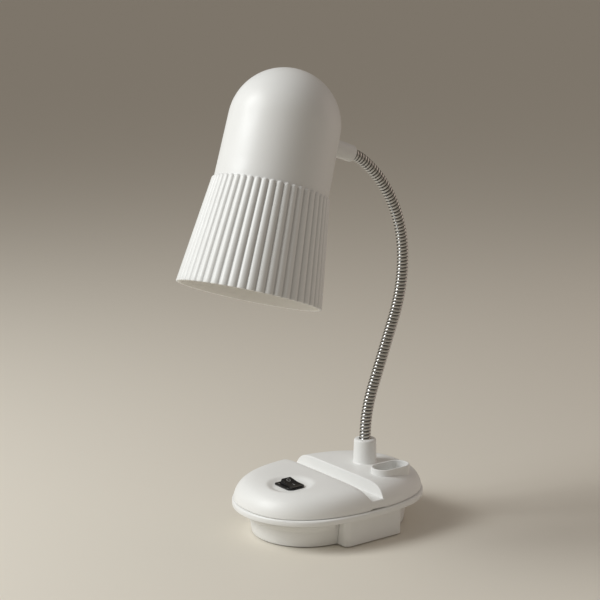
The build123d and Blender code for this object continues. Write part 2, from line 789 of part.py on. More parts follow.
boss_hole = nipple_radius + thread_gap
with BuildPart() as shade_shell:
    # dome and smooth body, then the ribbed skirt
    with BuildSketch(shade_section):
        with BuildLine():
            Polyline((0, dome_radius), (0, -smooth_length), (smooth_radius, -smooth_length), (dome_radius, 0))
            ThreePointArc(
                (dome_radius, 0),
                (dome_radius * cos(radians(45)), dome_radius * sin(radians(45))),
                (0, dome_radius),
            )
        make_face()
    revolve(axis=shade_axis)
    loft([fluted(smooth_length, rib_top_radius), fluted(shade_length - mouth_rim, mouth_radius)], ruled=True)
    add(rod(shade_frame, -shade_length, -shade_length + mouth_rim, mouth_radius))
    # boss outside and in
    add(rod(boss_plane, dome_radius - 6, boss_reach, boss_radius))
    tip_rim = shade_shell.edges().filter_by(GeomType.CIRCLE).sort_by(Axis(boss_plane.origin, boss_dir))[-1]
    fillet(tip_rim, radius=boss_rounding)
    # hollow inside
    inner_dome = dome_radius - shade_wall
    inner_smooth = smooth_radius - shade_wall
    inner_rib = rib_top_radius - rib_depth - shade_wall
    inner_mouth = mouth_radius - rib_depth - shade_wall
    with BuildSketch(shade_section):
        with BuildLine():
            Polyline(
                (0, inner_dome),
                (0, -shade_length - 1),
                (inner_mouth, -shade_length - 1),
                (inner_mouth, -shade_length),
                (inner_rib, -smooth_length),
                (inner_dome, 0),
            )
            ThreePointArc(
                (inner_dome, 0),
                (inner_dome * cos(radians(45)), inner_dome * sin(radians(45))),
                (0, inner_dome),
            )
        make_face()
    revolve(axis=shade_axis, mode=Mode.SUBTRACT)
    add(rod(boss_plane, boss_inner, dome_radius, boss_radius))
    add(rod(boss_plane, socket_end, boss_reach + 1, neck_radius + fit_gap), mode=Mode.SUBTRACT)
    add(rod(boss_plane, boss_inner - 1, boss_reach, boss_hole), mode=Mode.SUBTRACT)
finish(shade_shell, "shade_shell")

# ------------------------------------------------------------ lamp holder
arm_height = bracket_rise - boss_drop
entry_radius = nipple_radius + 1
with BuildPart() as holder_bracket:
    with BuildSketch(shade_section.offset(-bracket_width / 2)):
        with BuildLine():
            Polyline(
                (boss_inner, -boss_drop - bracket_width / 2),
                (boss_inner, arm_height),
                (-bracket_end, arm_height),
                (-bracket_end, arm_height - bracket_thickness),
                (boss_inner - bracket_thickness, arm_height - bracket_thickness),
                (boss_inner - bracket_thickness, -boss_drop - bracket_width / 2),
                close=True,
            )
        make_face()
    extrude(amount=bracket_width)
    add(rod(boss_plane, 0, boss_inner + 1, boss_hole), mode=Mode.SUBTRACT)
    add(rod(shade_frame, 0, arm_height + 1, entry_radius + seat_gap), mode=Mode.SUBTRACT)
    lead_hole = Plane(origin=shade_origin + boss_dir * lead_hole_x, x_dir=boss_dir, z_dir=shade_up)
    add(rod(lead_hole, 0, arm_height + 1, lead_radius + lead_clear), mode=Mode.SUBTRACT)
finish(holder_bracket, "holder_bracket")

arm_under = arm_height - bracket_thickness
with BuildPart() as holder_nipple:
    entry_top = arm_height + nut_height + 1
    add(rod(shade_frame, arm_under - entry_below, entry_top, entry_radius, entry_radius - entry_wall))
finish(holder_nipple, "holder_nipple")

with BuildPart() as holder_nut:
    add(hex_nut(shade_frame, arm_height, nut_width + 1, nut_height, entry_radius))
finish(holder_nut, "holder_nut")

cap_bottom = arm_under - holder_cap_height
with BuildPart() as holder_cap:
    add(turned(shade_section, shade_axis, (
        (entry_radius + thread_gap, arm_under),
        (cap_seat_radius, arm_under),
        (cap_shoulder_radius, arm_under - cap_shoulder_drop),
        (holder_radius, arm_under - cap_side_drop),
        (holder_radius, cap_bottom),
        (holder_radius - holder_wall, cap_bottom),
        (holder_radius - holder_wall, arm_under - cap_side_drop - 0.5),
        (cap_shoulder_radius - holder_wall, arm_under - cap_shoulder_drop - holder_wall),
        (entry_radius + thread_gap, arm_under - cap_seat_drop),
    )))
finish(holder_cap, "holder_cap")

skirt_bottom = cap_bottom - holder_skirt_length
with BuildPart() as holder_skirt:
    add(turned(shade_section, shade_axis, (
        (holder_radius, cap_bottom),
        (holder_radius, cap_bottom - skirt_band),
        (holder_radius - skirt_step, cap_bottom - skirt_band - 1),
        (holder_radius - skirt_step - skirt_draft, skirt_bottom),
        (screw_shell_radius + seat_gap, skirt_bottom),
        (screw_shell_radius + seat_gap, cap_bottom),
    )))
finish(holder_skirt, "holder_skirt")

with BuildPart() as holder_insulator:
    add(rod(shade_frame, cap_bottom, cap_bottom + insulator_height, holder_radius - holder_wall - seat_gap))
finish(holder_insulator, "holder_insulator")

with BuildPart() as screw_shell:
    add(rod(
        shade_frame, cap_bottom - screw_shell_length, cap_bottom,
        screw_shell_radius, screw_shell_radius - screw_shell_wall,
    ))
finish(screw_shell, "screw_shell")

contact_under = cap_bottom - contact_thickness
with BuildPart() as centre_contact:
    add(rod(shade_frame, contact_under, cap_bottom, centre_contact_radius))
finish(centre_contact, "centre_contact")

# ------------------------------------------------------------ bulb
bulb_top = contact_under - bulb_contact_thickness
bulb_cap_end = bulb_top - bulb_cap_length
bulb_body_end = bulb_cap_end - bulb_body_length
with BuildPart() as bulb_contact:
    add(rod(shade_frame, bulb_top, contact_under, bulb_contact_radius))
finish(bulb_contact, "bulb_contact")

with BuildPart() as bulb_cap:
    add(turned(shade_section, shade_axis, (
        (0, bulb_top),
        (bulb_cap_radius - 4, bulb_top),
        (bulb_cap_radius, bulb_top - 3),
        (bulb_cap_radius, bulb_cap_end),
        (bulb_cap_radius - 1, bulb_cap_end),
        (bulb_cap_radius - 1, bulb_top - 3.4),
        (bulb_cap_radius - 4.4, bulb_top - 1),
        (0, bulb_top - 1),
    )))
finish(bulb_cap, "bulb_cap")

with BuildPart() as bulb_body:
    with BuildSketch(shade_section):
        with BuildLine():
            Polyline(
                (bulb_collar_radius - 1.4, bulb_body_end),
                (bulb_collar_radius, bulb_body_end),
            )
            Spline(
                (bulb_collar_radius, bulb_body_end),
                (bulb_collar_radius - 5, bulb_body_end + bulb_body_length * 0.45),
                (bulb_throat_radius, bulb_cap_end - 2),
            )
            Polyline(
                (bulb_throat_radius, bulb_cap_end - 2),
                (bulb_cap_radius - 1 - seat_gap, bulb_cap_end),
                (bulb_cap_radius - 1 - seat_gap, bulb_cap_end + 8),
                (bulb_cap_radius - 2.6, bulb_cap_end + 8),
                (bulb_cap_radius - 2.6, bulb_cap_end - 3),
            )
            Spline(
                (bulb_cap_radius - 2.6, bulb_cap_end - 3),
                (bulb_collar_radius - 6.8, bulb_body_end + bulb_body_length * 0.45),
                (bulb_collar_radius - 1.4, bulb_body_end),
            )
        make_face()
    revolve(axis=shade_axis)
finish(bulb_body, "bulb_body")

with BuildPart() as bulb_globe:
    glass = 1.2
    with BuildSketch(shade_section):
        with BuildLine():
            Spline(
                (bulb_collar_radius, bulb_body_end),
                (bulb_radius, bulb_body_end - bulb_glass_length * 0.32),
                (bulb_radius * 0.72, bulb_body_end - bulb_glass_length * 0.82),
                (0, bulb_body_end - bulb_glass_length),
                tangents=((0.25, -1), (-1, 0)),
            )
            Line((0, bulb_body_end - bulb_glass_length), (0, bulb_body_end - bulb_glass_length + glass))
            Spline(
                (0, bulb_body_end - bulb_glass_length + glass),
                ((bulb_radius - glass) * 0.72, bulb_body_end - bulb_glass_length * 0.82 + glass * 0.7),
                (bulb_radius - glass, bulb_body_end - bulb_glass_length * 0.32),
                (bulb_collar_radius - glass, bulb_body_end),
                tangents=((1, 0), (-0.25, 1)),
            )
            Line((bulb_collar_radius - glass, bulb_body_end), (bulb_collar_radius, bulb_body_end))
        make_face()
    revolve(axis=shade_axis)
finish(bulb_globe, "bulb_globe")


# ------------------------------------------------------------ leads held inside
def lead(points, radii):
    """A round lead along straight runs joined by tangent arcs."""
    with BuildPart() as wire:
        with BuildLine() as route:
            FilletPolyline(*points, radius=radii)
        with BuildSketch(Plane(origin=route.line @ 0, z_dir=route.line % 0)):
            Circle(lead_radius)
        sweep(path=route.line)
    return wire


block_top = floor_top + block_height
lead_level = trough_floor - shell_wall - 5
lamp_pole_x = block_x + pole_step / 2
base_lead = lead((
    (lamp_pole_x, block_y, block_top),
    (lamp_pole_x, block_y, lead_level),
    (post_x - 15, block_y - 2, lead_level),
    (post_x, 8, lead_level + 1),
    (post_x, 0, lead_level + 9),
    (post_x, 0, neck_floor + stem_length),
), (6, 9, 5, 5))
finish(base_lead, "base_lead")

switch_pole_x = block_x - pole_step / 2
blade_foot = bezel_top - housing_depth - blade_length
blade_y = dish_y + housing_length / 4
switch_lead = lead((
    (switch_pole_x, block_y, block_top),
    (switch_pole_x, block_y, blade_foot - 5),
    (dish_x, blade_y, blade_foot - 5),
    (dish_x, blade_y, blade_foot),
), (3, 3))
finish(switch_lead, "switch_lead")


def in_shade(across, up):
    """A point in the shade's own upright plane through its boss."""
    return shade_origin + boss_dir * across + shade_up * up


lead_top = arm_height + nut_height + 5
shade_lead = lead((
    in_shade(nipple_end - 1, -boss_drop),
    in_shade(lead_hole_x, -boss_drop),
    in_shade(lead_hole_x, lead_top),
    in_shade(0, lead_top),
    in_shade(0, arm_under - 3),
), (3, 6, 6))
finish(shade_lead, "shade_lead")

# ------------------------------------------------------------ places that the joints need
for name, station in zip(span_names[1:], hinge_stations):
    plane = neck_plane(station)
    print("bend", name, plane.origin, "along", plane.z_dir, "sideways axis", plane.y_dir)
print("boss", boss_plane.origin, boss_dir, "tip", boss_tip.origin)
print("shade frame", shade_origin, "up", shade_up)
print("rocker pivot", (dish_x, dish_y, pivot_z))
print("gooseneck length", neck_length)
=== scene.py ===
"""Desk lamp with a drawer base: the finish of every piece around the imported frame.

Each piece is a surface worked out on a grid: a point of the grid is a function of two
numbers, given in words in the function that makes it.  Lengths are metres, +Z up.
"""

import json
from math import cos, pi, radians, sin

import bmesh
import bpy
import numpy as np
from bpy.props import FloatProperty, FloatVectorProperty, IntProperty, PointerProperty
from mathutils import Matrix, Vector


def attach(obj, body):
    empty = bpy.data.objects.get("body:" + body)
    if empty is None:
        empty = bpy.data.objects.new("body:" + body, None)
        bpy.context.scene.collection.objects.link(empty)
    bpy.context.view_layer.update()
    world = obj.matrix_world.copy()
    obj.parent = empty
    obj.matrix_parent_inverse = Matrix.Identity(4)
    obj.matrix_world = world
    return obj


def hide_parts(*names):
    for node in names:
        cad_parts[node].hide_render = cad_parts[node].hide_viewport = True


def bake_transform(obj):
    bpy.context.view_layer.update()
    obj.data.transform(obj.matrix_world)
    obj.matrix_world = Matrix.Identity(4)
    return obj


bl_info = {
    "name": "Desk lamp with drawer base",
    "version": (1, 0, 0),
    "blender": (4, 5, 0),
    "location": "View3D > Sidebar > Desk Lamp",
    "description": "Dresses a ribbed gooseneck desk lamp on an oval base with a drawer",
    "category": "Object",
}

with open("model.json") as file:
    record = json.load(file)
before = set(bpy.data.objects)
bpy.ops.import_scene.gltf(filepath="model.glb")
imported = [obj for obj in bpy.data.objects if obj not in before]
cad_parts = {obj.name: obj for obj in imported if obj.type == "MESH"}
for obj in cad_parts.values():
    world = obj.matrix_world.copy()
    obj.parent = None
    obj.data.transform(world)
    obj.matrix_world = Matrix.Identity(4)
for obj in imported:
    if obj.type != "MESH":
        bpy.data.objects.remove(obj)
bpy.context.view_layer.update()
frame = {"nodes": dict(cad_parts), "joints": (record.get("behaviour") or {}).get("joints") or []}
joints = {joint["name"]: joint for joint in frame["joints"]}
MM = 0.001


def length(name, description, millimetres):
    """A size that a user may change."""
    return FloatProperty(
        name=name, description=description, default=millimetres * MM, unit="LENGTH", precision=5
    )


def angle(name, description, degrees):
    """An angle that a user may change."""
    return FloatProperty(
        name=name, description=description, default=radians(degrees), unit="ROTATION"
    )


def colour(name, description, red, green, blue):
    """A colour that a user may change."""
    return FloatVectorProperty(
        name=name, description=description, default=(red, green, blue),
        subtype="COLOR", size=3, min=0, max=1,
    )


# ------------------------------------------------------------------ sizes and colours
class LampBaseSizes(bpy.types.PropertyGroup):
    half_length: length("Half length", "Middle of the base to the end of its crown", 83.9)
    half_width: length("Half width", "Middle of the base to the side of its crown", 61.6)
    fullness: FloatProperty(
        name="Fullness", description="Exponent of the crown's oval outline", default=2.33
    )
    seam_height: length("Seam height", "Lower edge of the crown, just over the bead", 29.0)
    crown_height: length("Crown height", "Flat top of the crown", 47.0)
    shoulder: FloatProperty(
        name="Shoulder", description="How far out the crown stays flat", default=9.0
    )
    roundness: FloatProperty(
        name="Roundness", description="How round the crown's edge is", default=1.75
    )
    wall: length("Wall", "Thickness of the mouldings", 2.2)
    band_low: length("Band, low edge", "Raised band round the waist of the base", 14.3)
    band_high: length("Band, high edge", "Raised band round the waist of the base", 20.0)
    band_rise: length("Band rise", "How far the band stands out", 1.2)
    trough_left: length("Trough left", "Left foot of the pen trough", -1.8)
    trough_right: length("Trough right", "Right foot of the pen trough", 10.4)
    trough_floor: length("Trough floor", "Height of the pen trough's floor", 36.0)
    dish_x: length("Dish X", "Middle of the dish round the switch", -46.5)
    dish_y: length("Dish Y", "Middle of the dish round the switch", -9.0)
    dish_depth: length("Dish depth", "How deep the dish is", 2.5)
    cup_x: length("Cup X", "Middle of the pen cup", 40.7)
    cup_y: length("Cup Y", "Middle of the pen cup", -32.5)
    cup_length: length("Cup length", "Pen cup, end to end", 36.1)
    cup_width: length("Cup width", "Pen cup, side to side", 20.8)
    cup_wall: length("Cup wall", "Thickness of the pen cup's wall", 1.8)
    cup_rim: length("Cup rim", "Height of the pen cup's rim", 52.0)
    cup_depth: length("Cup depth", "Depth inside the pen cup", 22.0)
    post_radius: length("Post radius", "Radius of the post", 9.55)
    post_top: length("Post top", "Height of the post", 68.0)


class LampNeckSizes(bpy.types.PropertyGroup):
    outer_radius: length("Outer radius", "Over the turns of wire", 5.0)
    groove_radius: length("Groove radius", "In the grooves between the turns", 3.95)
    bore_radius: length("Bore radius", "Inside the gooseneck", 3.0)
    pitch: length("Pitch", "From one turn of wire to the next", 3.0)
    foot_x: length("Foot X", "Middle of the post", 39.4)
    foot_height: length("Foot height", "Bottom of the gooseneck, inside the post", 58.0)


class LampShadeSizes(bpy.types.PropertyGroup):
    roll: angle("Roll", "How far the shade is turned about its boss", 6.08)
    dome_radius: length("Dome radius", "Radius of the closed end", 44.95)
    smooth_radius: length("Smooth radius", "Smooth body where the ribs begin", 45.9)
    smooth_length: length("Smooth length", "From the dome's centre to the top of the ribs", 51.5)
    rib_top_radius: length("Rib top radius", "Over the ribs at their top", 47.3)
    mouth_radius: length("Mouth radius", "Over the ribs at the mouth", 58.2)
    mouth_depth: length("Mouth depth", "From the dome's centre to the mouth", 138.4)
    rib_count: IntProperty(name="Ribs", description="Ribs round the skirt", default=50)
    rib_height: length("Rib height", "How far the ribs stand out", 1.45)
    wall: length("Wall", "Thickness of the shade", 1.6)
    boss_radius: length("Boss radius", "Radius of the boss at the shade", 7.35)
    boss_reach: length("Boss reach", "From the shade's axis to the end of the boss", 73.0)
    boss_drop: length("Boss drop", "How far the boss lies under the dome's centre", 3.5)


class LampSwitchSizes(bpy.types.PropertyGroup):
    bezel_x: length("Bezel X", "Middle of the switch's bezel", -45.9)
    bezel_y: length("Bezel Y", "Middle of the switch's bezel", -8.2)
    bezel_length: length("Bezel length", "Along Y", 22.0)
    bezel_width: length("Bezel width", "Along X", 17.2)
    bezel_top: length("Bezel top", "Height of the bezel", 45.9)
    rocker_x: length("Rocker X", "Middle of the rocker", -45.2)
    rocker_y: length("Rocker Y", "Where the rocker turns", -9.0)
    rocker_width: length("Rocker width", "Along X, at its foot", 12.4)
    end_radius: length("End radius", "From the rocker's pivot to its ends", 9.7)
    pivot_height: length("Pivot height", "Height of the rocker's pivot", 44.4)


class LampColours(bpy.types.PropertyGroup):
    # painted light and painted shade: the base's white is a lighter copy and the shade's outside a
    # darker copy of one white plastic, for how much more light reaches the shade
    white: colour("White plastic", "Mouldings of the base", 0.84, 0.84, 0.82)
    shade_white_painted_dim: colour("Shade plastic", "Moulding of the shade, outside", 0.745, 0.745, 0.73)
    # painted light: the shade's inside is a lighter copy of its white, for the light bounced up
    # into the mouth
    inside_painted_bright: colour("Shade lining", "Inside of the shade", 0.9, 0.885, 0.85)
    black: colour("Black plastic", "Switch and lamp holder", 0.01, 0.01, 0.0105)
    marks: colour("Switch marks", "The ring and the bar on the rocker", 0.3, 0.3, 0.29)
    steel: colour("Wound steel", "Gooseneck", 0.58, 0.575, 0.56)
    floor: colour("Floor", "Plain floor under the lamp", 0.74, 0.695, 0.61)


# ------------------------------------------------------------------ meshes from grids
def quads_of(index):
    """Four-cornered faces between the neighbours of a grid of vertex numbers."""
    corners = (index[:-1, :-1], index[1:, :-1], index[1:, 1:], index[:-1, 1:])
    return np.stack(corners, axis=-1).reshape(-1, 4)


def made_mesh(name, points, faces, values=None):
    """An object from points and faces: doubles merged, faces turned outwards, smooth shaded."""
    mesh = bpy.data.meshes.new(name)
    mesh.from_pydata(points.reshape(-1, 3).tolist(), [], faces.tolist())
    if values is not None:
        layer = mesh.attributes.new("depth", "FLOAT", "POINT")
        layer.data.foreach_set("value", np.asarray(values, np.float32).ravel())
    work = bmesh.new()
    work.from_mesh(mesh)
    bmesh.ops.remove_doubles(work, verts=work.verts, dist=1e-6)
    bmesh.ops.recalc_face_normals(work, faces=work.faces)
    work.to_mesh(mesh)
    work.free()
    mesh.polygons.foreach_set("use_smooth", np.ones(len(mesh.polygons), bool))
    piece = bpy.data.objects.new(name, mesh)
    bpy.context.scene.collection.objects.link(piece)
    return piece


def ring_surface(name, points, loop_rows=False, values=None):
    """A surface from rows of rings, each closed; loop_rows joins the last row to the first."""
    index = np.arange(points.shape[0] * points.shape[1]).reshape(points.shape[:2])
    index = np.hstack([index, index[:, :1]])
    if loop_rows:
        index = np.vstack([index, index[:1]])
    return made_mesh(name, points, quads_of(index), values)


def shell_surface(name, outer, inner, lip=0.0):
    """A closed shell between two grids of the same size, with strips along their four edges.

    The strips turn inwards by the lip first, as a share of the way to the middle, then go down.
    """
    count = outer.shape[0] * outer.shape[1]
    index = np.arange(count).reshape(outer.shape[:2])
    edge = np.concatenate([index[0, :], index[1:, -1], index[-1, -2::-1], index[-2::-1, 0]])
    turned_in = outer.reshape(-1, 3)[edge] * (1 - lip, 1 - lip, 1)
    turned_index = 2 * count + np.arange(len(edge))
    strips = quads_of(np.stack([edge, turned_index, edge + count], axis=1))
    faces = np.concatenate([quads_of(index), quads_of(index + count), strips])
    points = np.concatenate([outer.reshape(-1, 3), inner.reshape(-1, 3), turned_in])
    return made_mesh(name, points, faces)


def eased(low, high, value):
    """Rises smoothly from 0 at low to 1 at high."""
    share = np.clip((value - low) / (high - low), 0, 1)
    return share * share * (3 - 2 * share)


def rounded_profile(corners, radii, steps=6):
    """A profile through corners, each rounded by a parabola that leaves its sides a radius away."""
    corners = np.asarray(corners, float)
    points = [corners[:1]]
    for before, corner, after, radius in zip(corners[:-2], corners[1:-1], corners[2:], radii):
        back, ahead = before - corner, after - corner
        reach_back = min(radius, np.linalg.norm(back) * 0.49)
        reach_ahead = min(radius, np.linalg.norm(ahead) * 0.49)
        start = corner + back / np.linalg.norm(back) * reach_back
        end = corner + ahead / np.linalg.norm(ahead) * reach_ahead
        t = np.linspace(0, 1, steps)[:, None]
        points.append((1 - t) ** 2 * start + 2 * t * (1 - t) * corner + t**2 * end)
    points.append(corners[-1:])
    return np.concatenate(points)


def turned(name, profile, origin, axis, side, steps=96):
    """A surface of revolution: (radius, height) of a profile, turned about an axis.

    point = origin + axis * height + radius * (side * cos(turn) + (axis x side) * sin(turn))
    """
    turn = np.linspace(0, 2 * pi, steps, endpoint=False)
    across = np.cross(axis, side)
    radius, height = profile[:, 0, None, None], profile[:, 1, None, None]
    round_it = np.cos(turn)[:, None] * np.array(side) + np.sin(turn)[:, None] * across
    points = np.array(origin) + height * np.array(axis) + radius * round_it
    return ring_surface(name, points, loop_rows=True)


def dressed(piece, body, slot, paint, *nodes):
    """Gives a finished piece its material and its body, and hides the nodes that it stands for. The
    slot is not used.
    """
    piece.data.materials.clear()
    piece.data.materials.append(paint)
    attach(piece, body)
    if nodes:
        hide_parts(*nodes)


# ------------------------------------------------------------------ materials
class Value:
    """The output of a node, on which Python's operators add Math nodes."""

    def __init__(self, paint, socket):
        self.paint = paint
        self.socket = socket

    def math(self, operation, *others):
        return self.paint.add("ShaderNodeMath", {"operation": operation}, (self, *others))

    def __add__(self, other):
        return self.math("ADD", other)

    def __mul__(self, other):
        return self.math("MULTIPLY", other)

    __radd__ = __add__
    __rmul__ = __mul__


class Paint:
    """A material, or the world, in the making: add() makes any node from its type and inputs."""

    def __init__(self, name, store="materials", shader="Principled BSDF"):
        self.result = getattr(bpy.data, store).new(name)
        self.result.use_nodes = True
        self.tree = self.result.node_tree
        self.shader = self.tree.nodes[shader]

    def add(self, kind, settings=None, inputs=(), output=0):
        node = self.tree.nodes.new(kind)
        for key, value in (settings or {}).items():
            setattr(node, key, value)
        pairs = inputs.items() if isinstance(inputs, dict) else enumerate(inputs)
        for key, value in pairs:
            self.feed(node.inputs[key], value)
        return Value(self, node.outputs[output])

    def feed(self, socket, value):
        if isinstance(value, Value):
            self.tree.links.new(value.socket, socket)
        else:
            socket.default_value = value

    def set(self, **sockets):
        for name, value in sockets.items():
            self.feed(self.shader.inputs[name.replace("_", " ")], value)

    def place(self):
        return self.add("ShaderNodeTexCoord", output="Object")

    def noise(self, scale, detail=2.0, rough=0.5):
        return self.add("ShaderNodeTexNoise", inputs={
            "Vector": self.place(), "Scale": scale, "Detail": detail, "Roughness": rough,
        })

    def mixed(self, share, first, second):
        """A mix of two colours, which are inputs 6 and 7 of the node, as its colour output is 2."""
        inputs = {"Factor": share, 6: first, 7: second}
        return self.add("ShaderNodeMix", {"data_type": "RGBA"}, inputs, output=2)

    def stretched(self, value, low, high, to_low, to_high):
        return self.add("ShaderNodeMapRange", inputs=(value, low, high, to_low, to_high))

    def gloss(self, noise, rough_low, rough_high):
        """Roughness that wanders between two values with a noise's middle part."""
        return self.stretched(noise, 0.3, 0.7, rough_low, rough_high)

    def grain(self, noise, strength):
        """A moulding's fine grain, as a bump a fiftieth of a millimetre high."""
        inputs = {"Height": noise, "Distance": 0.02 * MM, "Strength": strength}
        return self.add("ShaderNodeBump", inputs=inputs)


def shade_of(rgb, factor):
    """A colour made lighter or darker, with its alpha."""
    return tuple(min(1.0, channel * factor) for channel in rgb) + (1.0,)


def white_plastic(name="moulded white plastic", shade=False):
    """Satin white moulding: faint clouding in colour and gloss, and a fine grain.

    On the shade the attribute says how deep a point is between the ribs, where the colour is
    darkened as painted shade, and is below 0 on the inside, which is lightened as painted light.
    """
    colours = bpy.context.scene.lamp_colours
    white = colours.shade_white_painted_dim if shade else colours.white
    paint = Paint(name)
    cloud = paint.noise(22.0, 3.0)
    tone = paint.mixed(cloud, shade_of(white, 0.975), shade_of(white, 1.01))
    if shade:
        deep = paint.add("ShaderNodeAttribute", {"attribute_name": "depth"}, output="Fac")
        # painted shade: the valleys between the ribs are darkened towards six tenths of the white
        valley_shade = paint.stretched(deep, 0.35, 1.0, 0.0, 0.6)
        tone = paint.mixed(valley_shade, tone, shade_of(white, 0.6))
        # painted light: the inside of the shade takes the lighter colour of its lining
        inside = paint.stretched(deep, -0.4, -0.6, 0.0, 1.0)
        tone = paint.mixed(inside, tone, shade_of(colours.inside_painted_bright, 1.0))
    rough = paint.gloss(paint.noise(60.0, 4.0, 0.6), 0.37, 0.48)
    grain = paint.grain(paint.noise(1500.0), 0.35)
    paint.set(Base_Color=tone, Roughness=rough, Normal=grain, IOR=1.49)
    return paint.result


def black_plastic():
    """Black moulding with a soft gloss and a fine spark grain."""
    paint = Paint("moulded black plastic")
    black = bpy.context.scene.lamp_colours.black
    rough = paint.gloss(paint.noise(250.0, 3.0), 0.13, 0.24)
    tone = paint.mixed(paint.noise(120.0), shade_of(black, 0.8), shade_of(black, 1.6))
    grain = paint.grain(paint.noise(2600.0), 0.3)
    paint.set(Base_Color=tone, Roughness=rough, Normal=grain, Specular_IOR_Level=0.28)
    return paint.result


def wound_steel():
    """Bright plated wire: the grooves and the bore are darkened as painted shade, and the crests
    are polished by handling.
    """
    paint = Paint("wound plated steel")
    steel = bpy.context.scene.lamp_colours.steel
    depth = paint.add("ShaderNodeAttribute", {"attribute_name": "depth"}, output="Fac")
    cloud = paint.noise(180.0, 4.0, 0.6)
    bare_steel_tone = paint.mixed(cloud, shade_of(steel, 0.9), shade_of(steel, 1.08))
    # painted shade: the grooves between the turns, and the bore, go nearly black
    groove_shade = paint.stretched(depth, 0.1, 0.62, 0.0, 1.0)
    tone = paint.mixed(groove_shade, bare_steel_tone, (0.012, 0.011, 0.01, 1.0))
    rough = paint.gloss(paint.noise(900.0, 3.0), 0.13, 0.22) + depth * 0.35
    paint.set(Base_Color=tone, Metallic=1.0, Roughness=rough)
    return paint.result


def metal(name, rgb, rough_low, rough_high):
    """A plated or plain metal with uneven polish."""
    paint = Paint(name)
    tone = paint.mixed(paint.noise(160.0, 3.0), shade_of(rgb, 0.86), shade_of(rgb, 1.06))
    rough = paint.gloss(paint.noise(700.0, 4.0, 0.6), rough_low, rough_high)
    paint.set(Base_Color=tone, Metallic=1.0, Roughness=rough)
    return paint.result


def moulded(name, rgb, rough_low, rough_high):
    """A plain moulded plastic or rubber with a fine grain."""
    paint = Paint(name)
    tone = paint.mixed(paint.noise(90.0, 3.0), shade_of(rgb, 0.92), shade_of(rgb, 1.05))
    rough = paint.gloss(paint.noise(300.0, 3.0), rough_low, rough_high)
    paint.set(Base_Color=tone, Roughness=rough, Normal=paint.grain(paint.noise(1800.0), 0.5))
    return paint.result


def softened_edges(node, width):
    """Rounds a node's own sharp edges by a bevel, after its triangles are welded."""
    piece = frame["nodes"][node]
    weld = piece.modifiers.new("weld", "WELD")
    weld.merge_threshold = 1e-6
    bevel = piece.modifiers.new("rounded edges", "BEVEL")
    bevel.width = width
    bevel.segments = 3
    bevel.limit_method = "ANGLE"
    bevel.angle_limit = radians(30)
    bevel.harden_normals = True


def painted(paint, *nodes):
    """Gives nodes that keep their own shape a material."""
    for node in nodes:
        piece = frame["nodes"][node]
        piece.data.materials.clear()
        piece.data.materials.append(paint)


# ------------------------------------------------------------------ the base
def dome_height(x, y):
    """Height of the crown over a point of its plan.

    ratio = (|x / half length|^n + |y / half width|^n)^(1/n), 1 on the oval outline
    height = seam + rise * (1 - ratio^shoulder)^(1/roundness), less the dish round the switch
    """
    sizes = bpy.context.scene.lamp_base
    n = sizes.fullness
    ratio = (abs(x / sizes.half_length) ** n + abs(y / sizes.half_width) ** n) ** (1 / n)
    rise = sizes.crown_height - sizes.seam_height
    fall = (1 - np.clip(ratio, 0, 1) ** sizes.shoulder) ** (1 / sizes.roundness)
    dish_floor, dish_edge = 13.3 * MM, 20.5 * MM
    off = np.hypot(x - sizes.dish_x, y - sizes.dish_y)
    dish = sizes.dish_depth * (1 - eased(dish_floor, dish_edge, off))
    return sizes.seam_height + rise * fall - dish


def outline_y(x):
    """Half the crown's width at a place along it."""
    sizes = bpy.context.scene.lamp_base
    n = sizes.fullness
    return sizes.half_width * (1 - abs(x / sizes.half_length) ** n) ** (1 / n)


def outline_point(turn):
    """A point of the crown's outline: x = a * cos^(2/n), y = b * sin^(2/n), signs kept."""
    sizes = bpy.context.scene.lamp_base
    power = 2 / sizes.fullness
    c, s = np.cos(turn), np.sin(turn)
    x = sizes.half_length * np.sign(c) * abs(c) ** power
    y = sizes.half_width * np.sign(s) * abs(s) ** power
    return np.stack([x, y], axis=-1)


def lobe(edge, side, columns):
    """Plan of one lobe of the crown, from the trough's edge out to the outline.

    A Coons patch: S(p, v) = (1-p) E(v) + p A(v) + (1-w) B(p) + w T(p) - the corners' bilinear mix,
    with E the trough's edge, A the end arc, B and T the side arcs and w = (v + 1) / 2.  The end
    arc meets the side arcs where the outline's turn is the corner's.
    """
    v = np.sin(np.linspace(-pi / 2, pi / 2, len(edge)))
    p = np.sin(np.linspace(0, pi / 2, columns))
    corner = radians(43)
    sizes = bpy.context.scene.lamp_base
    start = np.arccos((abs(edge[-1, 0]) / sizes.half_length) ** (sizes.fullness / 2))
    if edge[-1, 0] * side < 0:
        start = pi - start
    far = outline_point(v * corner)
    top = outline_point(start + (corner - start) * p)
    if side < 0:
        far[:, 0] *= -1
        top[:, 0] *= -1
    bottom = top * (1, -1)
    w = ((v + 1) / 2)[:, None, None]
    q = p[None, :, None]
    patch = (1 - q) * edge[:, None] + q * far[:, None] + (1 - w) * bottom[None] + w * top[None]
    patch -= (1 - q) * ((1 - w) * edge[0] + w * edge[-1]) + q * ((1 - w) * far[0] + w * far[-1])
    return patch


def bent_corner(before, corner, after, steps):
    """A rounded corner in every row: a parabola from before to after that aims at the corner."""
    t = np.linspace(0, 1, steps)[None, :, None]
    before, corner, after = before[:, None], corner[:, None], after[:, None]
    return (1 - t) ** 2 * before + 2 * t * (1 - t) * corner + t**2 * after


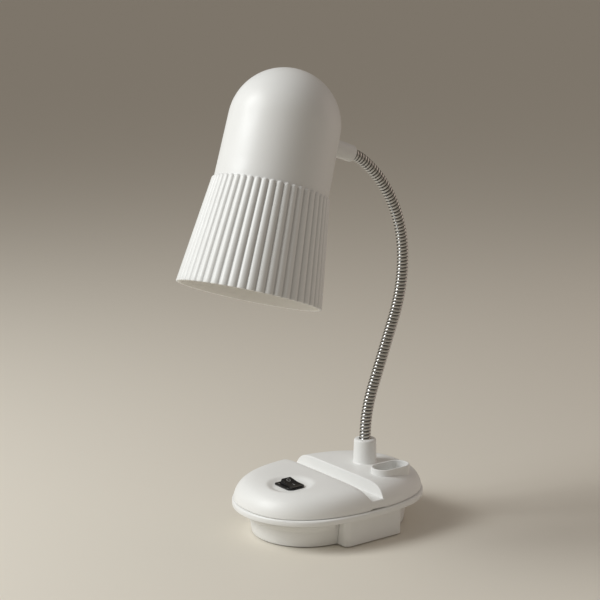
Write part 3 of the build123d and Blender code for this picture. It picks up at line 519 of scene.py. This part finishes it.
def crown_grid():
    """The crown: two lobes that follow the dome, and between them the section of the pen trough.

    Each row of the grid runs along X.  The trough's section in that row has its walls as straight
    lines and its four corners as parabolas; where the dome falls below the trough's floor near the
    front and back, the floor follows the dome and the walls shrink to nothing.  The change from
    floor to dome is the smooth least of the two: dome + (floor - dome) b - soft b (1 - b).
    """
    sizes = bpy.context.scene.lamp_base
    rows, columns = 141, 64
    v = np.sin(np.linspace(-pi / 2, pi / 2, rows))
    floor = sizes.trough_floor
    depth = sizes.crown_height - floor
    floor_round, soft = 1.4 * MM, 0.8 * MM
    sections = []
    for foot, lean, edge_round, side in (
        (sizes.trough_left, -4.9 * MM, 4.6 * MM, -1),
        (sizes.trough_right, 0.42 * MM, 1.3 * MM, 1),
    ):
        y = v * outline_y(foot + lean)
        ridge_z = dome_height(foot + lean, y)
        share = np.clip((ridge_z - floor) / depth, 0, 1)
        height = share * depth
        dome = dome_height(foot, y)
        blend = np.clip(0.5 + 0.5 * (dome - floor) / soft, 0, 1)
        low_z = dome + (floor - dome) * blend - soft * blend * (1 - blend)
        ridge_x = foot + lean * share
        ridge = np.stack([ridge_x, y, np.maximum(ridge_z, low_z)], -1)
        base = np.stack([np.full_like(y, foot), y, low_z], -1)
        reach = np.minimum(edge_round, height * 0.48)
        floor_reach = np.minimum(floor_round, height * 0.48)
        wall = (ridge - base) / np.maximum(np.linalg.norm(ridge - base, axis=-1), 1e-9)[:, None]
        on_dome = ridge + reach[:, None] * np.array([side, 0, 0])
        on_dome[:, 2] = dome_height(on_dome[:, 0], y)
        inward = base - floor_reach[:, None] * np.array([side, 0, 0])
        upper = bent_corner(on_dome, ridge, ridge - wall * reach[:, None], 9)
        lower = bent_corner(base + wall * floor_reach[:, None], base, inward, 7)
        sections.append(np.concatenate([upper, lower], axis=1))
    left, right = sections[0], sections[1][:, ::-1]
    floor_line = np.linspace(left[:, -1], right[:, 0], 7, axis=1)[:, 1:-1]
    trough = np.concatenate([left, floor_line, right], axis=1)
    lobes = []
    for edge, side in ((left[:, 0, :2], -1), (right[:, -1, :2], 1)):
        plan = lobe(edge, side, columns)[:, 1:]
        height = dome_height(plan[..., 0], plan[..., 1])
        lobes.append(np.concatenate([plan, height[..., None]], axis=-1))
    return np.concatenate([lobes[0][:, ::-1], trough, lobes[1]], axis=1)


def switch_body(switch):
    """Middle of the switch's body in plan, which its bezel overhangs unevenly."""
    return switch.bezel_x - 0.4 * MM, switch.bezel_y + 0.3 * MM


def cut_out(piece, low, high, slot_shaped=False):
    """Cuts an upright hole through a piece: a box, or a slot with round ends along X."""
    centre = (np.array(low) + high) / 2
    size = np.array(high) - low
    if slot_shaped:
        turn = np.linspace(0, 2 * pi, 96, endpoint=False)
        radius = size[1] / 2
        x = np.cos(turn) * radius + np.where(np.cos(turn) > 0, 1, -1) * (size[0] / 2 - radius)
        plan = np.stack([x, np.sin(turn) * radius], -1)
    else:
        plan = np.array([(-1, -1), (1, -1), (1, 1), (-1, 1)]) * size[:2] / 2
    rings = [
        np.column_stack([plan * share + centre[:2], np.full(len(plan), z)])
        for share, z in ((0, low[2]), (1, low[2]), (1, high[2]), (0, high[2]))
    ]
    cutter = ring_surface("cutter", np.stack(rings))
    hole = piece.modifiers.new("hole", "BOOLEAN")
    hole.operation = "DIFFERENCE"
    hole.solver = "EXACT"
    hole.object = cutter
    bpy.context.view_layer.update()
    evaluated = piece.evaluated_get(bpy.context.evaluated_depsgraph_get())
    mesh = bpy.data.meshes.new_from_object(evaluated)
    piece.modifiers.clear()
    piece.data = mesh
    bpy.data.objects.remove(cutter)


class LAMP_OT_crown(bpy.types.Operator):
    """Top shell of the base: crown with the pen trough, the post and the pen cup"""

    bl_idname = "lamp.crown"
    bl_label = "Crown of the base"

    def execute(self, context):
        sizes = context.scene.lamp_base
        white = white_plastic()
        outer = crown_grid()
        lip = 0.0145  # share of the half length and half width: the crown's wall at its seam
        inner = outer * (1 - lip, 1 - lip, 1) - np.array([0, 0, sizes.wall])
        crown = shell_surface("crown", outer, inner, lip)
        over = 60 * MM  # the holes are cut from below the crown to here, over it
        hole_x, hole_y = switch_body(context.scene.lamp_switch)
        half_x, half_y = 6.6 * MM, 9.7 * MM
        cut_out(crown, (hole_x - half_x, hole_y - half_y, 30 * MM),
                (hole_x + half_x, hole_y + half_y, over))
        half_x = (sizes.cup_length - sizes.cup_wall) / 2
        half_y = (sizes.cup_width - sizes.cup_wall) / 2
        cut_out(crown, (sizes.cup_x - half_x, sizes.cup_y - half_y, 20 * MM),
                (sizes.cup_x + half_x, sizes.cup_y + half_y, over), slot_shaped=True)
        dressed(crown, "base", "white_plastic", white, "top_shell")

        # the post: a turned profile with a rounded top and a fillet that runs out on the crown
        foot, top, radius = sizes.crown_height, sizes.post_top, sizes.post_radius
        under, skirt = foot - 3 * MM, radius + 5 * MM
        post_x = context.scene.lamp_neck.foot_x
        bore = context.scene.lamp_neck.outer_radius + 0.15 * MM
        profile = rounded_profile(
            [(bore, under), (bore, top), (radius, top), (radius + 0.45 * MM, foot),
             (skirt, foot - 0.25 * MM), (skirt, under), (bore, under)],
            (0.5 * MM, 2.6 * MM, 1.6 * MM, 0.2 * MM, 0.2 * MM),
        )
        post = turned("post", profile, (post_x, 0, 0), (0, 0, 1), (1, 0, 0))
        dressed(post, "base", "white_plastic", white, "top_shell")

        dressed(pen_cup(), "base", "white_plastic", white, "top_shell")
        return {"FINISHED"}


def pen_cup():
    """The pen cup: a profile of (inset, height) carried round a slot-shaped outline."""
    sizes = bpy.context.scene.lamp_base
    wall, rim = sizes.cup_wall, sizes.cup_rim
    floor = rim - sizes.cup_depth
    under = floor - wall
    radius = sizes.cup_width / 2
    straight = sizes.cup_length / 2 - radius
    corners = [
        (radius, under), (0.0, under), (0.0, rim), (wall, rim), (wall, floor), (radius, floor),
    ]
    profile = rounded_profile(corners, (0.6 * MM, 0.85 * MM, 0.85 * MM, 1.6 * MM))
    turn = np.linspace(0, 2 * pi, 112, endpoint=False) + pi / 112
    inset, height = profile[:, 0, None], profile[:, 1, None]
    end = np.where(np.cos(turn) > 0, straight, -straight)
    x = sizes.cup_x + end + (radius - inset) * np.cos(turn)
    y = sizes.cup_y + (radius - inset) * np.sin(turn)
    points = np.stack([x, y, np.broadcast_to(height, x.shape)], -1)
    cup = ring_surface("pen_cup", points)
    closed = bmesh.new()  # the floor and the underside are flat faces
    closed.from_mesh(cup.data)
    bmesh.ops.holes_fill(closed, edges=[e for e in closed.edges if e.is_boundary])
    bmesh.ops.recalc_face_normals(closed, faces=closed.faces)
    closed.to_mesh(cup.data)
    closed.free()
    return cup


# ------------------------------------------------------------------ the gooseneck
NECK_STRETCHES = (
    # length in metres (an arc's is its turn times its radius), and turn, positive towards +X
    (11.5 * MM, 0.0),
    (radians(20.9) * 117.0 * MM, radians(20.9)),
    (62.9 * MM, 0.0),
    (radians(22.2) * 139.0 * MM, radians(-22.2)),
    (radians(53.3) * 107.0 * MM, radians(-53.3)),
    (radians(16.3) * 43.6 * MM, radians(-16.3)),
    (11.7 * MM, 0.0),
)
NECK_LENGTH = sum(stretch for stretch, turn in NECK_STRETCHES)
NECK_HINGES = np.array([30.0, 111.0, 171.0, 228.0]) * MM  # distances of the four bends


def neck_line(distance):
    """Points and leans of the gooseneck's centre line at distances from its foot.

    The line is runs and arcs in the plane Y = 0; the lean is the integral of each stretch's turn,
    and the place is the sum of the chords, 2 * radius * sin(half the turn) along their mean lean.
    """
    sizes = bpy.context.scene.lamp_neck
    x = np.full_like(distance, sizes.foot_x)
    z = np.full_like(distance, sizes.foot_height)
    lean = np.zeros_like(distance)
    left = distance.copy()
    for stretch, turn in NECK_STRETCHES:
        step = np.clip(left, 0, stretch)
        bend = turn * step / stretch
        chord = step if turn == 0 else 2 * stretch / turn * np.sin(bend / 2)
        x = x + chord * np.sin(lean + bend / 2)
        z = z + chord * np.cos(lean + bend / 2)
        lean = lean + bend
        left = left - step
    return x, z, lean


def wound_length(name, start, end):
    """A stretch of gooseneck, wound from round wire.

    turn share f = fraction of (distance / pitch - angle / full turn), so the turns climb as a helix
    radius = groove + (outer - groove) * sqrt(1 - (2 f - 1)^2), then back along the plain bore
    """
    sizes = bpy.context.scene.lamp_neck
    steps_round = 40
    turns = (end - start) / sizes.pitch
    outer_s = np.linspace(start, end, round(turns * 12) + 1)
    bore_s = np.linspace(end, start, round(turns) + 2)
    angle_round = np.linspace(0, 2 * pi, steps_round, endpoint=False)
    f = np.mod(outer_s[:, None] / sizes.pitch - angle_round[None] / (2 * pi), 1)
    crest = np.sqrt(np.clip(1 - (2 * f - 1) ** 2, 0, 1))
    radius = sizes.groove_radius + (sizes.outer_radius - sizes.groove_radius) * crest
    radius = np.vstack([radius, np.full((len(bore_s), steps_round), sizes.bore_radius)])
    # depth: how far into a groove a point lies, 1 in the bore; the steel's material darkens by it
    # as painted shade
    depth = np.vstack([1 - crest, np.ones((len(bore_s), steps_round))])
    x, z, lean = neck_line(np.concatenate([outer_s, bore_s]))
    across = radius * np.cos(angle_round)
    points = np.stack([
        x[:, None] + across * np.cos(lean)[:, None],
        radius * np.sin(angle_round),
        z[:, None] - across * np.sin(lean)[:, None],
    ], axis=-1)
    return ring_surface(name, points, loop_rows=True, values=depth)


class LAMP_OT_gooseneck(bpy.types.Operator):
    """Gooseneck of wound steel, in four lengths that each reach across one joint"""

    bl_idname = "lamp.gooseneck"
    bl_label = "Gooseneck"

    def execute(self, context):
        steel = wound_steel()
        half_way = (NECK_HINGES[:-1] + NECK_HINGES[1:]) / 2
        joins = [0.0, *half_way, NECK_LENGTH - 0.3 * MM]
        bodies = ("base", "neck_lower", "neck_middle", "neck_upper", "neck_tip")
        reach = 17 * MM  # points this far to either side of each hinge are worked out for each length's two ends
        for i, (name, nodes) in enumerate((
            ("gooseneck_foot", ("neck_root", "neck_lower")),
            ("gooseneck_low", ("neck_middle",)),
            ("gooseneck_high", ("neck_upper",)),
            ("gooseneck_tip", ("neck_tip",)),
        )):
            piece = wound_length(name, joins[i], joins[i + 1])
            piece.data.materials.append(steel)
            x, z = neck_line(NECK_HINGES[i] + np.array([-reach, reach]))[:2]
            near, far = (bodies[i], (x[0], 0, z[0])), (bodies[i + 1], (x[1], 0, z[1]))
            if name == "gooseneck_tip":
                # the tip's two ends are taken the other way round, from the far end
                near, far = far, near
            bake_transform(piece)
            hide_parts(*nodes)
        return {"FINISHED"}


# ------------------------------------------------------------------ the shade
def shade_axes():
    """Origin at the dome's centre, the direction of the boss, and the shade's own up."""
    sizes = bpy.context.scene.lamp_shade
    boss = np.array(joints["shade_turn"]["axis"], float)
    boss /= np.linalg.norm(boss)
    upright = np.cross(boss, (0, 1, 0))
    upright /= np.linalg.norm(upright)
    side = np.cross(boss, upright)
    up = upright * cos(sizes.roll) - side * sin(sizes.roll)
    last_run = NECK_STRETCHES[-1][0]
    x, z = neck_line(np.array([NECK_LENGTH - last_run]))[:2]
    tip = np.array([x[0], 0, z[0]])
    origin = tip - boss * sizes.boss_reach + up * sizes.boss_drop
    return origin, boss, up


class LAMP_OT_shade(bpy.types.Operator):
    """Shade: dome, smooth body, ribbed skirt and the boss that takes the gooseneck"""

    bl_idname = "lamp.shade"
    bl_label = "Shade"

    def execute(self, context):
        white = white_plastic("shade white plastic", shade=True)
        dressed(shade_skin(), "shade", "white_plastic", white, "shade_shell")
        sizes = context.scene.lamp_shade
        origin, boss, up = shade_axes()
        bore = context.scene.lamp_neck.outer_radius + 0.3 * MM
        start, end = 42.0 * MM, sizes.boss_reach
        profile = rounded_profile(
            [(bore, start), (sizes.boss_radius, start), (sizes.boss_radius - 0.35 * MM, end),
             (bore, end), (bore, start)],
            (0.3 * MM, 2.0 * MM, 0.6 * MM),
        )
        piece = turned("shade_boss", profile, origin - up * sizes.boss_drop, boss, up, steps=72)
        dressed(piece, "shade", "white_plastic", white, "shade_shell")
        return {"FINISHED"}


def shade_skin():
    """The shade's wall, outside and in.

    Down the outside: a half dome, a straight smooth body, then the skirt, whose radius grows
    evenly to the mouth and carries the ribs: height * (1 - |w|^2.2), w from -1 to 1 across a rib.
    The ribs swell out over a few millimetres at their top, later at the valleys than the crests,
    which gives each a rounded end.  Up the inside: plain cone, plain body, half dome.
    """
    sizes = bpy.context.scene.lamp_shade
    per_rib = 12
    turn = np.linspace(0, 2 * pi, sizes.rib_count * per_rib, endpoint=False)
    w = np.mod(turn * sizes.rib_count / (2 * pi), 1) * 2 - 1
    dome = np.linspace(0, pi / 2, 30)
    top, mouth = sizes.smooth_length, sizes.mouth_depth
    body_s = np.linspace(0, top - 1 * MM, 12)[1:]
    outer_s = np.concatenate([
        top + np.linspace(-0.6, 3.4, 15) * MM,
        np.linspace(top + 5 * MM, mouth - 0.6 * MM, 22),
        [mouth - 0.25 * MM, mouth],
    ])
    cone = np.interp(outer_s, (top, mouth), (sizes.rib_top_radius, sizes.mouth_radius))
    cone -= sizes.rib_height
    start = top + 1.6 * MM * w**2
    swell = eased(start[None] - 0.4 * MM, start[None] + 1.1 * MM, outer_s[:, None])
    smooth_end = sizes.smooth_radius
    plain = np.minimum(cone, smooth_end + (outer_s - top) * 0.1)
    base = plain[:, None] * (1 - swell) + cone[:, None] * swell
    rib = sizes.rib_height * (1 - np.abs(w) ** 2.2)[None] * swell
    skirt = base + rib
    skirt[-2] -= 0.1 * MM  # the mouth's edge is rounded
    skirt[-1] -= 0.4 * MM
    ones = np.ones_like(turn)[None]
    radius = np.vstack([
        (sizes.dome_radius * np.sin(dome))[:, None] * ones,
        np.interp(body_s, (0, top), (sizes.dome_radius, smooth_end))[:, None] * ones,
        skirt,
    ])
    height = np.concatenate([sizes.dome_radius * np.cos(dome), -body_s, -outer_s])
    smooth_rows = np.zeros((len(dome) + len(body_s), len(turn)))
    # depth: how deep a point lies between the ribs; the material darkens the valleys by it as
    # painted shade
    depth = np.vstack([smooth_rows, (1 - rib / sizes.rib_height) * swell])
    # the inside
    inner_mouth = sizes.mouth_radius - sizes.rib_height - sizes.wall
    inner_rib = sizes.rib_top_radius - sizes.rib_height - sizes.wall
    inner_dome = sizes.dome_radius - sizes.wall
    lip_s = np.array([mouth, mouth - 0.25 * MM])
    lip_r = np.array([inner_mouth + 0.35 * MM, inner_mouth + 0.05 * MM])
    up_s = np.linspace(mouth - 0.6 * MM, 0, 24)
    up_r = np.interp(up_s, (0, top, mouth), (inner_dome, inner_rib, inner_mouth))
    inner_turn = np.linspace(pi / 2, 0, 20)[1:]
    in_r = np.concatenate([lip_r, up_r, inner_dome * np.sin(inner_turn)])
    in_h = np.concatenate([-lip_s, -up_s, inner_dome * np.cos(inner_turn)])
    radius = np.vstack([radius, in_r[:, None] * ones])
    height = np.concatenate([height, in_h])
    # -1 marks the inside, which the material lightens as painted light
    depth = np.vstack([depth, np.full((len(in_r), len(turn)), -1.0)])
    origin, boss, up = shade_axes()
    across = np.cross(up, boss)
    around = np.cos(turn)[:, None] * boss + np.sin(turn)[:, None] * across
    points = origin + height[:, None, None] * up + radius[..., None] * around[None]
    return ring_surface("shade", points, values=depth)


# ------------------------------------------------------------------ the foot and the drawer
def foot_outline(turn, inset):
    """Plan of the base, for the direction its edge faces and an inset from the bead.

    Four arcs that meet smoothly: point = arc's middle + (radius - inset) * (cos, sin) of the turn;
    the two end arcs have the smaller radius, the two side arcs the larger.
    """
    half_length, half_width, end_radius = 86.0 * MM, 63.75 * MM, 61.2 * MM
    end_x = half_length - end_radius
    side_radius = (end_x**2 + half_width**2 - end_radius**2) / (2 * (half_width - end_radius))
    side_y = side_radius - half_width
    on_end = abs(np.cos(turn)) > end_x / np.hypot(end_x, side_y)
    radius = np.where(on_end, end_radius, side_radius) - inset
    x = np.where(on_end, np.sign(np.cos(turn)) * end_x, 0) + radius * np.cos(turn)
    y = np.where(on_end, 0, -np.sign(np.sin(turn)) * side_y) + radius * np.sin(turn)
    return np.stack([x, y], axis=-1)


def waist_band():
    """The raised band round the foot: a flat strip with soft edges, open in front for the drawer.

    The foot's wall leans: its inset from the bead falls evenly from its bottom to the waist.
    """
    sizes = bpy.context.scene.lamp_base
    drawer_right, drawer_left = -77.4, 260.4  # the band's ends, as turns in degrees
    turn = np.radians(np.linspace(drawer_right, drawer_left, 340))
    share = np.array([0, 0.02, 0.08, 0.5, 0.86, 0.96, 1.0])
    rise = sizes.band_rise * np.array([0.0, 0.85, 1.0, 1.0, 1.0, 0.6, 0.0])
    height = sizes.band_low + (sizes.band_high - sizes.band_low) * share
    wall = np.interp(height, (1 * MM, 20 * MM), (16.3 * MM, 13.6 * MM))
    sunk = 0.8 * MM
    skins = []
    for inset in (wall - rise, wall + sunk):
        plan = np.stack([foot_outline(turn, value) for value in inset])
        skins.append(np.dstack([plan, np.broadcast_to(height[:, None], plan.shape[:2])]))
    return shell_surface("waist_band", *skins)


class LAMP_OT_foot(bpy.types.Operator):
    """Bottom shell with its band, drawer, feet and screws"""

    bl_idname = "lamp.foot"
    bl_label = "Foot and drawer"

    def execute(self, context):
        white = white_plastic("lower white plastic")
        painted(white, "bottom_shell", "drawer")
        softened_edges("bottom_shell", 0.5 * MM)
        softened_edges("drawer", 0.6 * MM)
        dressed(waist_band(), "base", "white_plastic", white)
        painted(moulded("soft rubber", (0.03, 0.03, 0.03), 0.6, 0.8), "rubber_feet")
        painted(metal("zinc plated steel", (0.62, 0.61, 0.58), 0.25, 0.42), "shell_screws")
        return {"FINISHED"}


# ------------------------------------------------------------------ the switch
def plate_rings(rows, steps=96):
    """Rings of points, one for each row: middle x and y, half x and y, two corner radii, height.

    Each is a rectangle with round corners: x = middle + (sign of cos) * (half - corner) +
    corner * cos, and so in y.  The back corners have the first radius, the front ones the second.
    """
    turn = (np.arange(steps) + 0.5) * 2 * pi / steps
    x, y, half_x, half_y, back, front, height = np.array(rows, float).T[:, :, None]
    corner = np.where(np.sin(turn) > 0, back, front)
    plan_x = x + np.sign(np.cos(turn)) * (half_x - corner) + corner * np.cos(turn)
    plan_y = y + np.sign(np.sin(turn)) * (half_y - corner) + corner * np.sin(turn)
    return np.stack([plan_x, plan_y, np.broadcast_to(height, plan_x.shape)], axis=-1)


def rocker_top(y):
    """Height of the rocker along its length: lowest + (y - pressed)^2 / (2 * radius)."""
    lowest, pressed, radius = 46.0 * MM, -14.4 * MM, 26.6 * MM
    return lowest + (y - pressed) ** 2 / (2 * radius)


def rocker_button():
    """The rocker: rings shrink to its middle over the curved top, and go down its sides.

    The ends lie on a circle about the pivot, so a ring's y is drawn in by
    sqrt(1 - (height over the pivot / end radius)^2); over the bezel the sides lean in by 0.42
    of the height.
    """
    sizes = bpy.context.scene.lamp_switch
    half_x, half_y = sizes.rocker_width / 2, sizes.end_radius
    back, front = 1.3 * MM, 3.6 * MM
    share = np.array([1e-6, 0.2, 0.4, 0.6, 0.8, 0.92, 0.97, 1.0, 1.0, 1.0, 1.0, 1e-6])
    drop = np.array([0, 0, 0, 0, 0, 0, 0.07, 0.4, 2, 4, 0, 0]) * MM
    rings = plate_rings([(0, 0, half_x * k, half_y * k, back * k, front * k, 0) for k in share])
    foot = 41.9 * MM
    edge = rocker_top(sizes.rocker_y + rings[..., 1] * 0.9)
    rise = (edge - sizes.pivot_height) / sizes.end_radius
    y = sizes.rocker_y + rings[..., 1] * np.sqrt(1 - np.clip(rise, 0, 0.9) ** 2)
    height = rocker_top(y) - drop[:, None]
    height[-2:] = foot
    height = np.maximum(height, foot)
    lean = 0.42 * np.clip(height - sizes.bezel_top, 0, None)
    rings[..., 0] = sizes.rocker_x + rings[..., 0] * (1 - lean / half_x)
    rings[..., 1] = y
    rings[..., 2] = height
    return ring_surface("rocker_button", rings)


def rocker_mark(name, rings):
    """A printed mark: a thin closed band between two outlines, laid on the rocker's top."""
    proud, sunk = 0.07 * MM, -0.1 * MM
    rings[..., 2] = rocker_top(rings[..., 1]) + np.array([proud, proud, sunk, sunk])[:, None]
    return ring_surface(name, rings, loop_rows=True)


class LAMP_OT_switch(bpy.types.Operator):
    """Rocker switch: bezel, rocker, and the ring and bar that mark off and on"""

    bl_idname = "lamp.switch"
    bl_label = "Switch"

    def execute(self, context):
        sizes = context.scene.lamp_switch
        black = black_plastic()
        painted(black, "cord_gland")
        x, y, top = sizes.bezel_x, sizes.bezel_y, sizes.bezel_top
        half_x, half_y = sizes.bezel_width / 2, sizes.bezel_length / 2
        back, front = 1.5 * MM, 5.0 * MM
        bottom, under, well_floor = 30.9 * MM, 44.2 * MM, 41.2 * MM
        body = (*switch_body(sizes), 6.2 * MM, 9.4 * MM, 1 * MM, 1 * MM)
        well_x, well_y = sizes.rocker_x, sizes.rocker_y + 0.1 * MM
        well_half_x, well_half_y = sizes.rocker_width / 2 + 0.3 * MM, sizes.end_radius + 0.3 * MM
        well = (well_x, well_y, well_half_x, well_half_y, 1.3 * MM, 3.7 * MM)
        chamfer = 0.2 * MM
        speck = (1e-8, 1e-8, 5e-9, 5e-9)
        rows = [
            (*body[:2], *speck, bottom),
            (*body, bottom),
            (*body, under),
            (x, y, half_x, half_y, back, front, under),
            (x, y, half_x, half_y, back, front, top - 0.45 * MM),
            (x, y, half_x - 0.14 * MM, half_y - 0.14 * MM, back, front, top - 0.14 * MM),
            (x, y, half_x - 0.45 * MM, half_y - 0.45 * MM, back - 0.4 * MM, front - 0.4 * MM, top),
            (well_x, well_y, well_half_x + chamfer, well_half_y + chamfer, 1.4 * MM, 3.8 * MM, top),
            (*well, top - chamfer),
            (*well, well_floor),
            (well_x, well_y, *speck, well_floor),
        ]
        bezel = ring_surface("switch_bezel", plate_rings(rows))
        dressed(bezel, "base", "black_plastic", black, "switch_housing")
        dressed(rocker_button(), "rocker", "black_plastic", black, "switch_rocker")
        ink = moulded("pale printed mark", context.scene.lamp_colours.marks, 0.35, 0.5)
        ring_y, bar_y = sizes.rocker_y + 4.9 * MM, sizes.rocker_y - 2.4 * MM
        middle = sizes.rocker_x + 0.5 * MM
        inner, outer = 1.25 * MM, 1.75 * MM
        ring = [(middle, ring_y, r, r, r, r, 0) for r in (inner, outer, outer, inner)]
        core, edge = (0.05 * MM, 1.3 * MM), (0.28 * MM, 1.5 * MM)
        bar = [(middle, bar_y, a, b, a / 2, a / 2, 0) for a, b in (core, edge, edge, core)]
        dressed(rocker_mark("mark_off", plate_rings(ring, 48)), "rocker", "white_plastic", ink)
        dressed(rocker_mark("mark_on", plate_rings(bar, 24)), "rocker", "white_plastic", ink)
        return {"FINISHED"}


# ------------------------------------------------------------------ what is mostly out of sight
class LAMP_OT_inside(bpy.types.Operator):
    """Lamp holder, bulb, leads, ballast and fixings"""

    bl_idname = "lamp.inside"
    bl_label = "Lamp holder and inner pieces"

    def execute(self, context):
        zinc = metal("bright zinc", (0.62, 0.61, 0.58), 0.25, 0.42)
        brass = metal("plain brass", (0.68, 0.5, 0.22), 0.22, 0.38)
        painted(zinc, "neck_foot_nipple", "post_washer", "post_nut", "shade_nipple", "shade_nut",
                "spring_washer", "holder_bracket", "holder_nipple", "holder_nut")
        painted(brass, "switch_terminals", "clamp_screws", "screw_shell", "centre_contact",
                "bulb_contact")
        painted(metal("rolled aluminium", (0.72, 0.72, 0.73), 0.2, 0.35), "bulb_cap")
        iron = metal("cast iron", (0.12, 0.12, 0.125), 0.5, 0.75)
        painted(iron, "left_ballast_plate", "right_ballast_plate")
        painted(black_plastic(), "holder_cap", "holder_skirt")
        painted(moulded("white insulator", (0.76, 0.75, 0.71), 0.3, 0.45), "holder_insulator",
                "terminal_block", "bulb_body")
        painted(moulded("lead sheath", (0.74, 0.74, 0.71), 0.4, 0.55), "base_lead", "switch_lead",
                "shade_lead", "neck_lead_root", "neck_lead_lower", "neck_lead_middle",
                "neck_lead_upper", "neck_lead_tip")
        painted(moulded("opal diffuser", (0.84, 0.83, 0.79), 0.25, 0.4), "bulb_globe")
        return {"FINISHED"}


# ------------------------------------------------------------------ stage
class LAMP_OT_stage(bpy.types.Operator):
    """Floor, lights and camera"""

    bl_idname = "lamp.stage"
    bl_label = "Stage"

    def execute(self, context):
        scene = context.scene
        # floor: a flat disc, wide enough to reach over the top of the picture
        ahead = Vector((0.5936, 0.8047, 0.0)).normalized()
        left = Vector((-ahead.y, ahead.x, 0))
        turn = np.linspace(0, 2 * pi, 97)[:-1]
        radius = np.array([1e-9, 0.5, 1.0, 2.0, 5.0, 15.0, 40.0, 90.0])[:, None]
        plan = np.stack([radius * np.cos(turn), radius * np.sin(turn), 0 * radius * turn], axis=-1)
        floor = ring_surface("floor", plan)
        paint = Paint("plain floor")
        paint.set(Base_Color=shade_of(scene.lamp_colours.floor, 1.0), Roughness=0.6)
        floor.data.materials.append(paint.result)

        # camera: 90 mm lens, level, and looking 11.7 degrees down
        pitch = radians(11.704)
        camera = bpy.data.objects.new("camera", bpy.data.cameras.new("camera"))
        camera.data.lens = 90.0
        camera.data.sensor_width = 36.0
        camera.location = (-0.7397, -0.9621, 0.4451)
        look = ahead * cos(pitch) - Vector((0, 0, sin(pitch)))
        camera.rotation_mode = "QUATERNION"
        camera.rotation_quaternion = look.to_track_quat("-Z", "Y")
        scene.collection.objects.link(camera)
        scene.camera = camera

        # square lamps, by how far each is to the left of the lamp, beyond it and over it
        middle = Vector((-0.02, 0, 0.2))
        for name, aside, beyond, over, size, power, tint in (
            ("key", 1.28, -0.36, 0.82, 0.8, 12.4, (0.95, 1.0, 1.04)),
            ("high key", 1.2, -0.15, 1.1, 0.7, 10.2, (1.0, 1.0, 0.97)),
            ("rim", -1.3, 0.55, 0.4, 1.0, 1.7, (1.0, 0.8, 0.73)),
        ):
            place = middle + left * aside + ahead * beyond + Vector((0, 0, over))
            lamp = bpy.data.objects.new(name, bpy.data.lights.new(name, "AREA"))
            lamp.data.size = size
            lamp.data.energy = power
            lamp.data.color = tint
            lamp.location = place
            lamp.rotation_mode = "QUATERNION"
            lamp.rotation_quaternion = (middle - place).to_track_quat("-Z", "Y")
            scene.collection.objects.link(lamp)

        # the world lights the lamp, and is seen in the tone of the floor's far end
        sky = Paint("studio", "worlds", "Background")
        seen = sky.add("ShaderNodeLightPath", output="Is Camera Ray")
        for kind in ("Is Glossy Ray", "Is Transmission Ray"):
            seen = seen.math("MAXIMUM", sky.add("ShaderNodeLightPath", output=kind))
        light, shown = (0.28, 0.259, 0.238, 1.0), (0.212, 0.185, 0.15, 1.0)
        sky.set(Color=sky.mixed(seen, light, shown))
        scene.world = sky.result
        scene.view_settings.view_transform = "Standard"
        return {"FINISHED"}


class LAMP_PT_panel(bpy.types.Panel):
    """The lamp's sizes and colours, and a button for each group of pieces"""

    bl_idname = "LAMP_PT_panel"
    bl_label = "Desk Lamp"
    bl_space_type = "VIEW_3D"
    bl_region_type = "UI"
    bl_category = "Desk Lamp"

    def draw(self, context):
        scene = context.scene
        for title, group in (
            ("Base", scene.lamp_base),
            ("Gooseneck", scene.lamp_neck),
            ("Shade", scene.lamp_shade),
            ("Switch", scene.lamp_switch),
            ("Colours", scene.lamp_colours),
        ):
            box = self.layout.box()
            box.label(text=title)
            for name in group.bl_rna.properties.keys():
                if name not in ("rna_type", "name"):
                    box.prop(group, name)
        for operator in OPERATORS:
            self.layout.operator(operator.bl_idname)


GROUPS = {
    "lamp_base": LampBaseSizes,
    "lamp_neck": LampNeckSizes,
    "lamp_shade": LampShadeSizes,
    "lamp_switch": LampSwitchSizes,
    "lamp_colours": LampColours,
}
OPERATORS = (
    LAMP_OT_stage,
    LAMP_OT_crown,
    LAMP_OT_gooseneck,
    LAMP_OT_shade,
    LAMP_OT_foot,
    LAMP_OT_switch,
    LAMP_OT_inside,
)


def register():
    for group in GROUPS.values():
        bpy.utils.register_class(group)
    for name, group in GROUPS.items():
        setattr(bpy.types.Scene, name, PointerProperty(type=group))
    for item in (*OPERATORS, LAMP_PT_panel):
        bpy.utils.register_class(item)


def unregister():
    for item in (LAMP_PT_panel, *reversed(OPERATORS)):
        bpy.utils.unregister_class(item)
    for name in GROUPS:
        delattr(bpy.types.Scene, name)
    for group in GROUPS.values():
        bpy.utils.unregister_class(group)


def main():
    register()
    bpy.ops.lamp.stage()
    bpy.ops.lamp.crown()
    bpy.ops.lamp.gooseneck()
    bpy.ops.lamp.shade()
    bpy.ops.lamp.foot()
    bpy.ops.lamp.switch()
    bpy.ops.lamp.inside()


if __name__ == "__main__":
    main()
